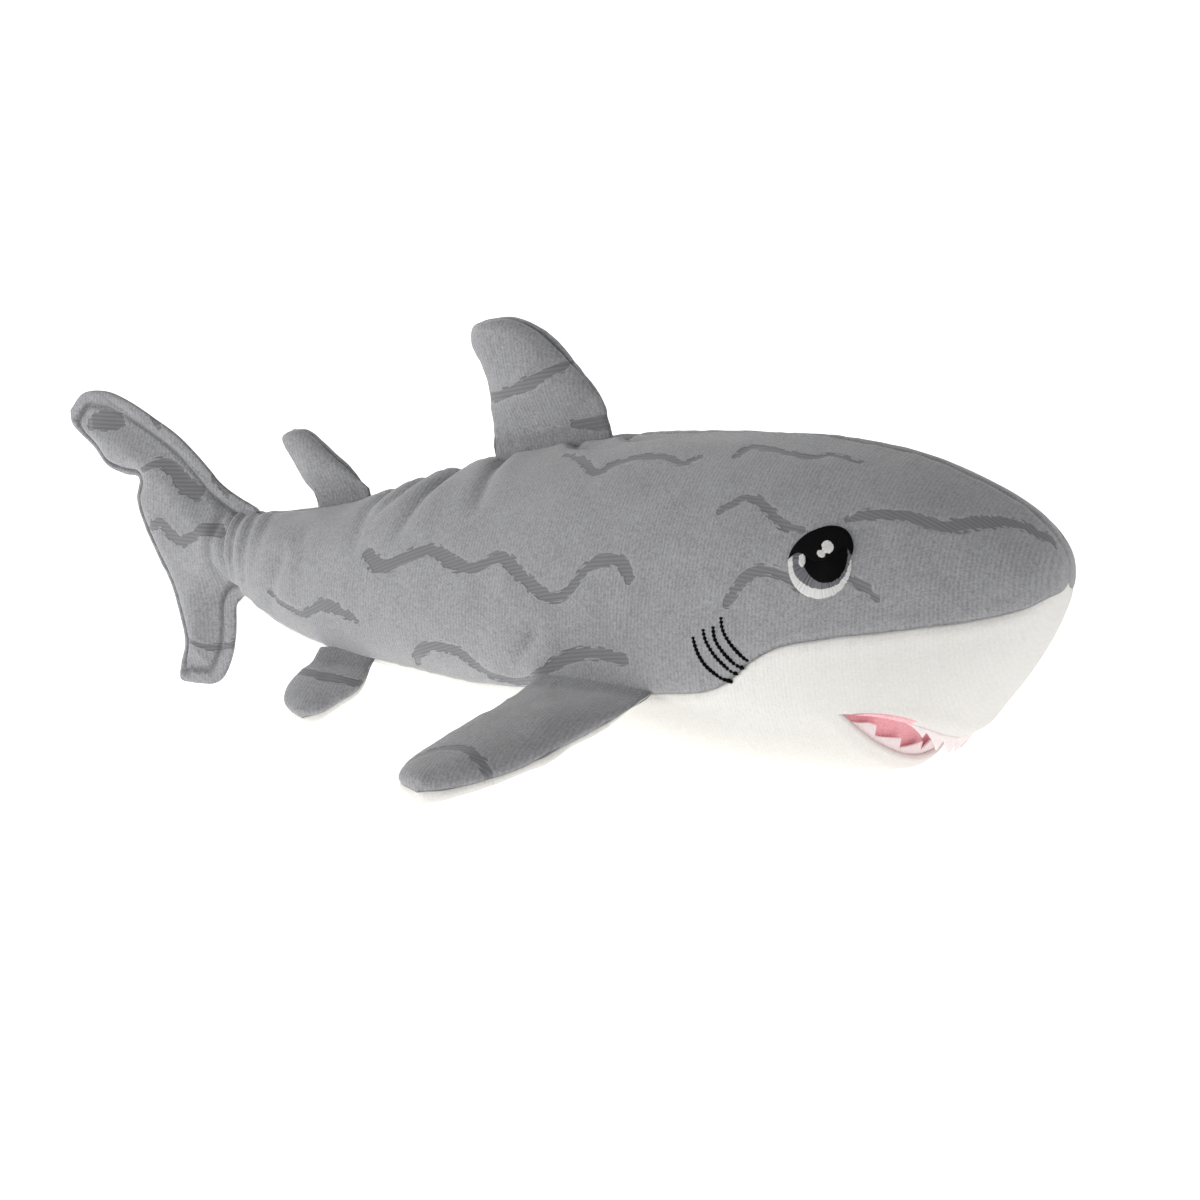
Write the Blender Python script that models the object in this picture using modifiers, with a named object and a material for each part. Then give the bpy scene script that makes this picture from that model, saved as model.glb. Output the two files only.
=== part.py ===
"""Plush shark: a stuffed body of three fabric panels, a lined mouth with felt teeth,
embroidered eyes and gills, and seven stuffed fins that hinge at their root seams.

Metres, +Z up. The nose points along +X, the shark's left is +Y, and it lies on z = 0.
Each fabric panel is a shell, each filling is a solid inside its panels, and every fin
turns about the line where it is sewn to the body.
"""
import math

import bmesh
import bpy
import numpy as np

# ---------------------------------------------------------------- driving dimensions
BODY_LENGTH = 0.3540      # tail seam to nose
BODY_WIDTH = 0.1200       # widest part, just behind the gills
BODY_HEIGHT = 0.1200      # floor to the highest point of the back
TAIL_SEAM_X = -0.1358     # where the body panels end and the tail fin begins
SKIN = 0.0018             # plush knit with its pile and backing
FIN_SKIN = 0.0013         # the same knit pulled thinner over a fin
LINING = 0.0010           # mouth lining fabric
FELT = 0.0008             # felt of the teeth
GAP = 0.0003              # clearance between pieces that touch
SEAM_GAP = 0.0008         # clearance along the belly seam, measured round the body
DORSAL_GAP = 0.0010       # between the two sides along the dorsal seam
TRIM_LIFT = DORSAL_GAP / 2 + GAP    # embroidery above the side's nominal surface
FILL_ROOM = 0.0016        # between the body's panels and its filling, for their facets
STITCH = 0.0005           # height of an embroidered patch
FIN_FILL_ROOM = 0.0008    # between a fin's panels and its filling
EYE_WIDTH = 0.0228
EYE_HEIGHT = 0.0270
EYE_X = TAIL_SEAM_X + 0.7904 * BODY_LENGTH      # eye centre along the body
EYE_DROP = 0.0635         # eye centre down the side, from the dorsal seam
GILL_X = TAIL_SEAM_X + 0.6624 * BODY_LENGTH     # top of the rearmost gill
GILL_WIDTH = 0.0020
MOUTH_CORNER_X = TAIL_SEAM_X + 0.8088 * BODY_LENGTH
MOUTH_UPPER_REACH = 0.0310    # upper lip ahead of the mouth's corners
MOUTH_LOWER_REACH = 0.0148    # lower lip ahead of the mouth's corners
MOUTH_SHARE = 0.68            # corner's place from the belly line (0) to the belly seam (1)
MOUTH_DEPTH = 0.0140
TOOTH_HEIGHT = 0.0060
TOOTH_INSET = 0.0008      # root of the teeth inside the lip's edge
LINING_ROOM = 0.0009      # between the belly panel's back and the lining
NOTCH_SHARE = 0.35        # height left between two teeth
TEETH = 7                 # teeth in each row
PECTORAL_REAR_X = TAIL_SEAM_X + 0.4740 * BODY_LENGTH
PECTORAL_ANGLE = -22                  # degrees below the widest level
PECTORAL_DIRECTION = (-0.07, 0.960, -0.275)
PECTORAL_SPAN = 0.088
PECTORAL_CHORD = 0.050
PECTORAL_THICKNESS = 0.015
PELVIC_REAR_X = TAIL_SEAM_X + 0.1506 * BODY_LENGTH
PELVIC_ANGLE = -50
PELVIC_DIRECTION = (-0.10, 0.75, -0.62)
PELVIC_SPAN = 0.031
PELVIC_CHORD = 0.027
PELVIC_THICKNESS = 0.010
DORSAL_REAR_X = TAIL_SEAM_X + 0.3370 * BODY_LENGTH
DORSAL_HEIGHT = 0.050
DORSAL_CHORD = 0.053
DORSAL_THICKNESS = 0.018
SECOND_DORSAL_REAR_X = TAIL_SEAM_X + 0.1090 * BODY_LENGTH
SECOND_DORSAL_HEIGHT = 0.0313
SECOND_DORSAL_CHORD = 0.026
SECOND_DORSAL_THICKNESS = 0.011
TAIL_HEIGHT = 0.1160
TAIL_LENGTH = 0.0795
TAIL_THICKNESS = 0.012
TAIL_ROOT_THICKNESS = 0.018
TAIL_ROOT_LEVEL = 0.50    # middle of the tail's root as a share of its height
TAIL_FLOOR = 0.0016       # the tail fin's lower edge above the floor, inside its panels
TAIL_HINGE = 0.0110       # hinge line behind the end of the body panels

GREY = (0.262, 0.266, 0.283)
WHITE = (0.855, 0.850, 0.820)
FILL = (0.90, 0.90, 0.90)
PINK = (0.80, 0.42, 0.46)
FELT_WHITE = (0.87, 0.80, 0.79)
BLACK = (0.006, 0.006, 0.007)
IRIS = (0.16, 0.16, 0.175)
EYE_WHITE = (0.80, 0.80, 0.78)

# Body stations from the tail seam to the nose: place along the length, half width as a
# share of the width, then top, underside and widest level as shares of the height.
BODY_STATIONS = np.array([
    (0.000, 0.096, 0.605, 0.380, 0.492),
    (0.071, 0.167, 0.622, 0.248, 0.442),
    (0.161, 0.258, 0.680, 0.180, 0.408),
    (0.268, 0.354, 0.785, 0.145, 0.408),
    (0.387, 0.425, 0.887, 0.092, 0.417),
    (0.506, 0.475, 0.955, 0.022, 0.425),
    (0.624, 0.500, 0.990, -0.004, 0.433),
    (0.731, 0.488, 0.997, -0.007, 0.458),
    (0.825, 0.425, 0.965, 0.013, 0.492),
    (0.898, 0.333, 0.902, 0.135, 0.542),
    (0.952, 0.233, 0.832, 0.318, 0.592),
    (0.988, 0.129, 0.740, 0.508, 0.625),
    (1.000, 0.000, 0.652, 0.652, 0.652),
])
TOP_ROUNDNESS = 2.0       # superellipse power of the back
BELLY_ROUNDNESS = 2.2     # superellipse power of the underside
LAST = len(BODY_STATIONS) - 1
RIGHT, LEFT = -1, 1

# The seam between grey side and white belly: station along x, angle below the widest level.
SEAM_X = TAIL_SEAM_X + BODY_LENGTH * np.array([
    -0.0034, 0.2424, 0.3695, 0.4684, 0.6096, 0.6774, 0.7056, 0.7226, 0.7565,
    0.8215, 0.8921, 0.9345, 0.9710, 0.9824, 0.9887, 0.9950, 1.0000])
SEAM_ANGLE = np.radians([-62, -52, -45, -30, -23, -20, -15, -8, -2.5, -1, -3, -7, -14,
                         -24, -38, -56, -72])


# ---------------------------------------------------------------- curves and surfaces
def smooth_rows(rows, at, before, after):
    """Catmull-Rom curve through rows, read at positions 0..len-1, with two end guides."""
    padded = np.vstack([before, rows, after])
    at = np.asarray(at, dtype=float)
    i = np.clip(np.floor(at).astype(int), 0, len(rows) - 2)
    t = (at - i)[:, None]
    a, b, c, d = padded[i], padded[i + 1], padded[i + 2], padded[i + 3]
    return b + 0.5 * t * (c - a + t * (2 * a - 5 * b + 4 * c - d + t * (3 * (b - c) + d - a)))


def smooth_line(points, count):
    """A smooth curve of count points through a short list of points."""
    rows = np.array(points, dtype=float)
    at = np.linspace(0, len(rows) - 1, count)
    return smooth_rows(rows, at, 2 * rows[0] - rows[1], 2 * rows[-1] - rows[-2])


def body_rows(u):
    """x, half width, top, underside and widest level of the body at stations u."""
    rows = BODY_STATIONS
    mirrored = rows[-2].copy()
    mirrored[1] *= -1
    mirrored[2], mirrored[3] = rows[-2][3], rows[-2][2]
    mirrored[4] = 2 * rows[-1][4] - rows[-2][4]
    along, half, top, under, wide = smooth_rows(rows, u, 2 * rows[0] - rows[1], mirrored).T
    x = TAIL_SEAM_X + along * BODY_LENGTH
    return x, np.maximum(half, 0) * BODY_WIDTH, top * BODY_HEIGHT, under * BODY_HEIGHT, \
        wide * BODY_HEIGHT


TABLE_U = np.linspace(0, LAST, 1201)
TABLE_X = body_rows(TABLE_U)[0]


def station_at(x):
    """Station number of the body section at x."""
    return np.interp(x, TABLE_X, TABLE_U)


def body_surface(u, angle, side, depth=0.0):
    """Points of the body's skin: angle runs from 90 degrees (back) to -90 (belly line).

    Each half section is a superellipse. depth moves the point inwards along the normal.
    """
    u, angle = np.broadcast_arrays(np.asarray(u, float), np.asarray(angle, float))
    outer = body_outer(u, angle, side)
    if np.all(np.asarray(depth) == 0):
        return outer
    step = 0.02
    along = body_outer(np.minimum(u + step, LAST - 0.01), angle, side)
    along = along - body_outer(np.minimum(u - step, LAST - 0.03), angle, side)
    low = np.clip(angle - step, -math.pi / 2, math.pi / 2)
    high = np.clip(angle + step, -math.pi / 2, math.pi / 2)
    near_tip = np.minimum(u, LAST - 0.02)
    around = body_outer(near_tip, high, side) - body_outer(near_tip, low, side)
    normal = np.cross(around, along) * side
    normal /= np.linalg.norm(normal, axis=-1, keepdims=True)
    return outer - normal * np.asarray(depth)[..., None]


def body_outer(u, angle, side):
    shape = u.shape
    x, half, top, under, wide = (v.reshape(shape) for v in body_rows(u.ravel()))
    cos, sin = np.cos(angle), np.sin(angle)
    power = np.where(sin > 0, TOP_ROUNDNESS, BELLY_ROUNDNESS)
    y = half * np.abs(cos) ** (2 / power)
    rise = np.where(sin > 0, top - wide, wide - under)
    z = wide + rise * np.sign(sin) * np.abs(sin) ** (2 / power)
    return np.stack([x, side * y, np.maximum(z, 0.0)], axis=-1)


def seam_angle(u):
    """Angle of the belly seam at stations u."""
    return np.interp(body_rows(np.ravel(u))[0], SEAM_X, SEAM_ANGLE).reshape(np.shape(u))


def half_girth(u):
    """Rough length round half of the body section at stations u."""
    _, half, top, under, _ = body_rows(np.ravel(u))
    mean_radius = np.sqrt((half ** 2 + ((top - under) / 2) ** 2) / 2)
    return (math.pi * mean_radius).reshape(np.shape(u))


def side_point(x, drop, side, lift=0.0):
    """A point on the body at x, drop metres down the side from the dorsal seam."""
    fan = np.linspace(math.pi / 2, -math.pi / 2, 121)
    points = []
    for one_x, one_drop in zip(np.ravel(x), np.ravel(drop)):
        u = float(station_at(one_x))
        ring = body_surface(np.full(fan.shape, u), fan, side)
        length = np.concatenate([[0], np.cumsum(np.linalg.norm(np.diff(ring, axis=0), axis=1))])
        angle = np.interp(one_drop, length, fan)
        points.append(body_surface(np.array([u]), np.array([angle]), side,
                                   np.array([-lift]))[0])
    return np.array(points).reshape(np.shape(x) + (3,))


# ---------------------------------------------------------------- making objects
def make_material(name, colour, roughness):
    material = bpy.data.materials.new(name)
    material.use_nodes = True
    shader = material.node_tree.nodes["Principled BSDF"]
    shader.inputs["Base Color"].default_value = (*colour, 1.0)
    shader.inputs["Roughness"].default_value = roughness
    shader.inputs["Metallic"].default_value = 0.0
    return material


def add_object(name, mesh_data, material):
    """Turn a bmesh into a named object in the shark's collection."""
    mesh = bpy.data.meshes.new(name)
    mesh_data.to_mesh(mesh)
    mesh_data.free()
    mesh.materials.append(material)
    mesh.shade_smooth()
    thing = bpy.data.objects.new(name, mesh)
    shark.objects.link(thing)
    thing.parent = root
    return thing


def add_grid(mesh_data, points, flip=False, skip=None):
    """Faces over a grid of points; skip(row, column) leaves a face out."""
    rows, columns = points.shape[:2]
    verts = [[mesh_data.verts.new(points[i, j]) for j in range(columns)] for i in range(rows)]
    for i in range(rows - 1):
        for j in range(columns - 1):
            if skip and skip(i, j):
                continue
            corners = [verts[i][j], verts[i + 1][j], verts[i + 1][j + 1], verts[i][j + 1]]
            if flip:
                corners.reverse()
            mesh_data.faces.new(corners)


def weld(mesh_data, distance=0.00002):
    bmesh.ops.remove_doubles(mesh_data, verts=mesh_data.verts, dist=distance)
    loose = [v for v in mesh_data.verts if not v.link_faces]
    bmesh.ops.delete(mesh_data, geom=loose, context="VERTS")


def thicken(thing, thickness, outwards):
    solidify = thing.modifiers.new("fabric thickness", "SOLIDIFY")
    solidify.thickness = thickness
    solidify.offset = 1.0 if outwards else -1.0
    return thing


def add_sheet(name, points, thickness, material, outwards=False, flip=False, skip=None):
    """One fabric piece: an open surface given its thickness."""
    mesh_data = bmesh.new()
    add_grid(mesh_data, points, flip, skip)
    weld(mesh_data)
    return thicken(add_object(name, mesh_data, material), thickness, outwards)


def add_closed(name, points, material):
    """A solid from a grid that wraps round in its second direction, with closed ends."""
    mesh_data = bmesh.new()
    wrapped = np.concatenate([points, points[:, :1]], axis=1)
    add_grid(mesh_data, wrapped)
    weld(mesh_data)
    edges = [e for e in mesh_data.edges if e.is_boundary]
    if edges:
        bmesh.ops.holes_fill(mesh_data, edges=edges, sides=0)
    bmesh.ops.triangulate(mesh_data, faces=[f for f in mesh_data.faces if len(f.verts) > 4])
    bmesh.ops.recalc_face_normals(mesh_data, faces=mesh_data.faces)
    return add_object(name, mesh_data, material)


# ---------------------------------------------------------------- body
REAR_ROWS = 18            # rows of the panels behind the mouth's corners
FRONT_ROWS = 7            # rows ahead of them
SIDE_COLUMNS = 9
TOOTH_STEP = MOUTH_SHARE / (TEETH + 1)      # half a tooth, as a share of the belly
BELLY_SHARES = np.append(np.linspace(0, MOUTH_SHARE, TEETH + 2), [(MOUTH_SHARE + 1) / 2, 1])
BELLY_SHARES = np.concatenate([-BELLY_SHARES[:0:-1], BELLY_SHARES])
BELLY_NOSE_U = 11.35      # station where the belly panel ends under the nose
NOSE_ROWS = np.array([11.65, 11.85, 11.96])


def panel_rows(corner_x):
    """Stations of the rows that the side and belly panels share along their seam."""
    corner = float(station_at(corner_x))
    behind = np.linspace(0, corner, REAR_ROWS)
    return np.concatenate([behind, np.linspace(corner, BELLY_NOSE_U, FRONT_ROWS)[1:]])


def belly_angle(u, share):
    """Angle of a belly point: share 0 is the belly line, 1 the edge of the belly panel."""
    edge = seam_angle(u) - SEAM_GAP / np.maximum(half_girth(u) / math.pi, 0.004)
    return -math.pi / 2 + (math.pi / 2 + edge) * np.abs(share)


def belly_point(u, share, depth=0.0):
    u, share = np.broadcast_arrays(np.asarray(u, float), np.asarray(share, float))
    depth = np.broadcast_to(np.asarray(depth, float), u.shape)
    angle = belly_angle(u, share)
    left = body_surface(u, angle, LEFT, depth)
    right = body_surface(u, angle, RIGHT, depth)
    return np.where((share > 0)[..., None], left, right)


def upper_lip_x(share):
    inside = np.clip(np.abs(share) / MOUTH_SHARE, 0, 1)
    return MOUTH_CORNER_X + MOUTH_UPPER_REACH * (1 - inside ** 2.6) ** 0.435


def lower_lip_x(share):
    inside = np.clip(np.abs(share) / MOUTH_SHARE, 0, 1)
    return MOUTH_CORNER_X + MOUTH_LOWER_REACH * (1 - inside ** 2)


def build_side_panel(name, side, material):
    """One grey side, from the dorsal seam to the belly seam, round the nose."""
    u = np.concatenate([panel_rows(MOUTH_CORNER_X), NOSE_ROWS])[:, None]
    share = np.linspace(0, 1, SIDE_COLUMNS)[None, :]
    angle = math.pi / 2 + (seam_angle(u) - math.pi / 2) * share
    points = body_surface(np.broadcast_to(u, angle.shape), angle, side)
    points[..., 1] += side * DORSAL_GAP / 2
    return add_sheet(name, points, SKIN, material, flip=side == RIGHT)


def build_belly_panel(material):
    """White underside in two grids that meet at the cheeks and leave the mouth open."""
    share = BELLY_SHARES[None, :]
    behind = np.linspace(0, 1, REAR_ROWS)[:, None] * station_at(lower_lip_x(share))
    lip = station_at(upper_lip_x(share))
    ahead = lip + np.linspace(0, 1, FRONT_ROWS)[:, None] * (BELLY_NOSE_U - lip)
    mesh_data = bmesh.new()
    for u in (behind, ahead):
        add_grid(mesh_data, belly_point(u, np.broadcast_to(share, u.shape)), flip=True)
    weld(mesh_data)
    return thicken(add_object("belly_panel", mesh_data, material), SKIN, False)


def mouth_point(share, across, depth):
    """A point in the mouth: across runs from the lower lip (0) to the upper lip (1)."""
    low, high = lower_lip_x(share), upper_lip_x(share)
    return belly_point(station_at(low + (high - low) * across), share, depth)


def mouth_gape(share):
    """Distance between the lips, never less than 2 mm at the corners."""
    level = np.zeros(share.shape)
    lips = mouth_point(share, level + 1, level) - mouth_point(share, level, level)
    return np.maximum(np.linalg.norm(lips, axis=-1), 0.002)


def pocket_depth(share, across, extra=0.0, widen=0.0):
    """Depth of the mouth pocket below the skin's outer face; widen swells its walls."""
    across = 0.5 + (np.clip(across, 0, 1) - 0.5) * (1 - widen)
    share = np.clip(np.abs(share) / MOUTH_SHARE, 0, 1) * (1 - widen)
    bowl = np.sin(math.pi * across) ** 0.7
    fade = np.cos(math.pi / 2 * share) ** 0.6
    return SKIN + LINING_ROOM + extra + MOUTH_DEPTH * bowl * fade


LINING_SHARES = np.arange(-TEETH, TEETH + 1) / (TEETH + 1)
LINING_STEPS = np.linspace(0.0, 1.0, 6)
POCKET_ROOM = 0.0015      # room between the lining and the filling behind it
POCKET_WIDENING = 0.25    # how much steeper the filling's pocket falls at its walls
POCKET_MARGIN = 0.0040    # how far the pocket's space runs under the lips


def build_mouth(materials):
    share = LINING_SHARES[None, :] * MOUTH_SHARE
    across = LINING_STEPS[:, None]
    share, across = np.broadcast_arrays(share, across)
    points = mouth_point(share, across, pocket_depth(share, across))
    add_sheet("mouth_lining", points, LINING, materials["pink"], flip=True)
    for name, start, sign in (("upper_teeth", 1.0, -1), ("lower_teeth", 0.0, 1)):
        share = np.arange(-TEETH, TEETH + 1) * TOOTH_STEP
        gape = mouth_gape(share)
        tip = np.arange(len(share)) % 2
        height = np.where(tip, TOOTH_HEIGHT, TOOTH_HEIGHT * 0.35)
        base = start + sign * TOOTH_INSET / gape
        edge = base + sign * np.minimum(height / gape, 0.42)
        rows = np.array([mouth_point(share, across, np.full(share.shape, 0.0004))
                         for across in (base, edge)])
        add_sheet(name, rows, FELT, materials["felt"], flip=sign > 0)


def build_mouth_cutter():
    """The space that the mouth pocket takes out of the filling."""
    share = np.concatenate([[-1.04], LINING_SHARES, [1.04]])[None, :] * MOUTH_SHARE
    across = np.concatenate([[0.0], LINING_STEPS, [1.0]])[:, None]
    share, across = (np.array(v) for v in np.broadcast_arrays(share, across))
    margin = POCKET_MARGIN / mouth_gape(share[0])
    across[0] -= margin
    across[-1] += margin
    deep = pocket_depth(share, across, LINING + POCKET_ROOM, POCKET_WIDENING)
    inner = mouth_point(share, across, deep)
    outer = mouth_point(share, across, np.full(share.shape, -0.004))
    rings = []
    for k in range(share.shape[1]):
        rings.append(np.concatenate([outer[:, k], inner[::-1, k]]))
    cutter = add_closed("mouth_space", np.array(rings), materials["fill"])
    shark.objects.unlink(cutter)
    guides.objects.link(cutter)
    cutter.hide_render = True
    cutter.display_type = "WIRE"
    return cutter


def build_body_stuffing(material):
    u = np.linspace(0.04, LAST - 0.12, 22)[:, None]
    angle = np.linspace(math.pi / 2, -math.pi / 2, 9)
    depth = np.full((22, 9), SKIN + FILL_ROOM)
    right = body_surface(np.broadcast_to(u, depth.shape), angle[None, :], RIGHT, depth)
    left = body_surface(np.broadcast_to(u, depth.shape), angle[None, :], LEFT, depth)
    right[:, [0, -1], 1] = 0
    filling = add_closed("body_stuffing", np.concatenate([right, left[:, -2:0:-1]], axis=1),
                         material)
    cut = filling.modifiers.new("mouth pocket", "BOOLEAN")
    cut.operation = "DIFFERENCE"
    cut.solver = "EXACT"
    cut.object = build_mouth_cutter()
    return filling


# ---------------------------------------------------------------- embroidery
def eye_patch(name, side, lift, centre, radii, turn, material):
    """An oval satin-stitched patch that follows the side of the head."""
    ring = np.linspace(0, 2 * math.pi, 17)[:-1]
    rows = []
    for reach in (0.0, 0.55, 1.0):
        forward = radii[0] * reach * np.cos(ring)
        up = radii[1] * reach * np.sin(ring)
        cos, sin = math.cos(turn), math.sin(turn)
        x = EYE_X + centre[0] + forward * cos - up * sin
        drop = EYE_DROP - centre[1] - forward * sin - up * cos
        rows.append(side_point(x, drop, side, lift))
    points = np.array(rows)
    points = np.concatenate([points, points[:, :1]], axis=1)
    add_sheet(name, points, STITCH, material, outwards=True, flip=side == LEFT)


def build_eye(side, word):
    half = (EYE_WIDTH / 2, EYE_HEIGHT / 2)
    layer = STITCH + GAP
    eye_patch("eye_white_" + word, side, TRIM_LIFT, (0, 0), half, 0.0, materials["eye white"])
    eye_patch("eye_iris_" + word, side, TRIM_LIFT + layer, (0.0006, 0.0012),
              (half[0] * 0.93, half[1] * 0.85), 0.0, materials["iris"])
    eye_patch("eye_pupil_" + word, side, TRIM_LIFT + 2 * layer, (0.0008, 0.0036),
              (half[0] * 0.80, half[1] * 0.66), 0.0, materials["black"])
    eye_patch("eye_glint_large_" + word, side, TRIM_LIFT + 3 * layer, (0.0012, 0.0048),
              (0.0024, 0.0026), 0.0, materials["eye white"])
    eye_patch("eye_glint_small_" + word, side, TRIM_LIFT + 3 * layer, (-0.0068, -0.0012),
              (0.0012, 0.0024), 0.0, materials["eye white"])


# Middle lines of the gills, front to back: ahead of GILL_X, and drop from the dorsal seam.
GILL_LINES = [
    [(0.0098, 0.090), (0.0111, 0.096), (0.0143, 0.101), (0.0188, 0.1045)],
    [(0.0070, 0.0935), (0.0079, 0.0985), (0.0113, 0.104), (0.0163, 0.1085)],
    [(0.0040, 0.0955), (0.0051, 0.101), (0.0083, 0.107), (0.0138, 0.112)],
    [(0.0000, 0.0985), (0.0013, 0.104), (0.0043, 0.1095), (0.0108, 0.115)],
]


def build_gills(side, word):
    for number, line in enumerate(GILL_LINES, start=1):
        middle = smooth_line(line, 7) + np.array([GILL_X, 0])
        along = np.gradient(middle, axis=0)
        across = np.stack([-along[:, 1], along[:, 0]], axis=1)
        across /= np.linalg.norm(across, axis=1, keepdims=True)
        edges = [middle + across * GILL_WIDTH / 2, middle - across * GILL_WIDTH / 2]
        rows = np.array([side_point(e[:, 0], e[:, 1], side, TRIM_LIFT) for e in edges])
        add_sheet(f"gill_stitch_{word}_{number}", rows, STITCH, materials["black"],
                  outwards=True, flip=side == RIGHT)


# ---------------------------------------------------------------- fins
FIN_ROWS = 8
FIN_COLUMNS = 7


class Fin:
    """A two-panel fin with its filling, hinged along the line where it is sewn on.

    The outline is given from the root (height 0) to the tip (height 1), in shares of the
    chord and of the span. ends are the front and rear of the root on the body's skin.
    """

    def __init__(self, ends, outwards, chord, span, thickness, front, rear):
        front_end, rear_end = (np.array(e) for e in ends)
        self.ahead = (front_end - rear_end) / np.linalg.norm(front_end - rear_end)
        up = np.array(outwards, dtype=float)
        up -= self.ahead * (up @ self.ahead)
        self.up = up / np.linalg.norm(up)
        self.out = np.cross(self.ahead, self.up)
        self.chord = chord
        self.thickness = thickness
        self.root_half = 0.16 * thickness
        self.hub = self.root_half + GAP / 2 + FIN_SKIN
        middle = (front_end + rear_end) / 2
        self.offset = self.clear_of_body(middle)
        self.centre = middle + self.up * self.offset
        self.span = span - self.offset
        self.front = np.array(front, dtype=float)
        self.rear = np.array(rear, dtype=float)

    def clear_of_body(self, middle):
        """How far out the hinge line sits so that the root's hub turns free of the skin."""
        u = np.linspace(0, LAST - 0.2, 160)[:, None]
        angle = np.linspace(math.pi / 2, -math.pi / 2, 91)[None, :]
        u, angle = np.broadcast_arrays(u, angle)
        skin = np.concatenate([body_surface(u, angle, s).reshape(-1, 3) for s in (RIGHT, LEFT)])
        offset = 0.0
        while True:
            away = skin - (middle + self.up * offset)
            along = away @ self.ahead
            near = np.abs(along) < self.chord / 2 + 0.003
            radial = np.linalg.norm(away - along[:, None] * self.ahead, axis=1)[near].min()
            if radial > self.hub + GAP:
                return offset
            offset += 0.0001

    def half_thickness(self, rise, across):
        """Half the filling's thickness: thin at the root seam, full by a third of the span."""
        swell = np.clip(rise / 0.35, 0, 1)
        swell = swell * swell * (3 - 2 * swell)
        half = self.root_half + (self.thickness / 2 - self.root_half) * swell
        return half * np.sqrt(np.clip(1 - rise ** 4, 0, 1)) * np.sqrt(np.clip(1 - across ** 2, 0, 1))

    def surface(self, side, rows, columns, inset=0.0, thinner=0.0):
        """Half of the fin: from the rounded root over the bulge to the tip."""
        rise = np.linspace(0, 1, rows)
        across = np.sin(np.linspace(-1, 1, columns) * math.pi / 2)
        front = smooth_line(self.front, rows)
        rear = smooth_line(self.rear, rows)
        scale = np.array([self.chord, self.span])
        centre = (front + rear) / 2 * scale
        reach = (front - rear) / 2 * scale
        length = np.linalg.norm(reach, axis=1, keepdims=True)
        reach = reach * np.maximum(0, 1 - inset / np.maximum(length, 1e-6))
        flat = centre[:, None, :] + reach[:, None, :] * across[None, :, None]
        flat[..., 1] = np.minimum(flat[..., 1], self.span - inset)
        half = self.half_thickness(rise[:, None], across[None, :])
        half = np.maximum(half - thinner, 0.0)
        bend = np.linspace(math.pi / 2, 0, 4)[:-1]
        root_half = half[0][None, :]
        root_flat = np.repeat(flat[:1], len(bend), axis=0)
        root_flat[..., 1] -= root_half * np.sin(bend)[:, None]
        flat = np.concatenate([root_flat, flat])
        half = np.concatenate([root_half * np.cos(bend)[:, None], half])
        height = side * (half + (GAP / 2 if thinner == 0 else 0))
        return (flat[..., :1] * self.ahead + flat[..., 1:] * self.up
                + height[..., None] * self.out)


def build_fin(fin, names, materials_used):
    """Two panels and a filling, all with their origin on the hinge line."""
    pivot = bpy.data.objects.new(names[0] + "_hinge", None)
    shark.objects.link(pivot)
    pivot.parent = root
    pivot.location = fin.centre
    for name, side, material in zip(names[:2], (1, -1), materials_used[:2]):
        panel = add_sheet(name, fin.surface(side, FIN_ROWS, FIN_COLUMNS), FIN_SKIN, material,
                          outwards=True, flip=side > 0)
        panel.parent = pivot
    upper = fin.surface(1, FIN_ROWS, FIN_COLUMNS, FIN_FILL_ROOM, FIN_FILL_ROOM)
    lower = fin.surface(-1, FIN_ROWS, FIN_COLUMNS, FIN_FILL_ROOM, FIN_FILL_ROOM)
    ring = np.concatenate([upper, lower[:, -2:0:-1]], axis=1)
    filling = add_closed(names[2], ring, materials_used[2])
    filling.parent = pivot


def skin_point(x, degrees, side):
    return body_surface(station_at(np.array([x])), np.radians([float(degrees)]), side)[0]


def build_dorsal_fins():
    front = [(0.50, 0), (0.47, 0.22), (0.34, 0.44), (0.21, 0.66), (0.07, 0.83), (-0.12, 0.96),
             (-0.32, 1.0)]
    rear = [(-0.50, 0), (-0.45, 0.22), (-0.42, 0.44), (-0.44, 0.64), (-0.49, 0.82),
            (-0.45, 0.96), (-0.32, 1.0)]
    start = DORSAL_REAR_X
    fin = Fin((skin_point(start + DORSAL_CHORD * 0.978, 90, LEFT), skin_point(start, 90, LEFT)),
              (0, 0, 1), DORSAL_CHORD, DORSAL_HEIGHT, DORSAL_THICKNESS, front, rear)
    build_fin(fin, ("dorsal_fin_right_panel", "dorsal_fin_left_panel", "dorsal_fin_stuffing"),
              (materials["grey"], materials["grey"], materials["fill"]))
    report_hinge("dorsal", fin)
    front = [(0.50, 0), (0.25, 0.28), (-0.05, 0.59), (-0.35, 0.88), (-0.62, 1.0)]
    rear = [(-0.50, 0), (-0.58, 0.26), (-0.68, 0.54), (-0.85, 0.85), (-0.62, 1.0)]
    start = SECOND_DORSAL_REAR_X
    fin = Fin((skin_point(start + SECOND_DORSAL_CHORD * 0.963, 90, LEFT),
               skin_point(start, 90, LEFT)), (0, 0, 1), SECOND_DORSAL_CHORD,
              SECOND_DORSAL_HEIGHT, SECOND_DORSAL_THICKNESS, front, rear)
    build_fin(fin, ("second_dorsal_right_panel", "second_dorsal_left_panel",
                    "second_dorsal_stuffing"),
              (materials["grey"], materials["grey"], materials["fill"]))
    report_hinge("second dorsal", fin)


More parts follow.
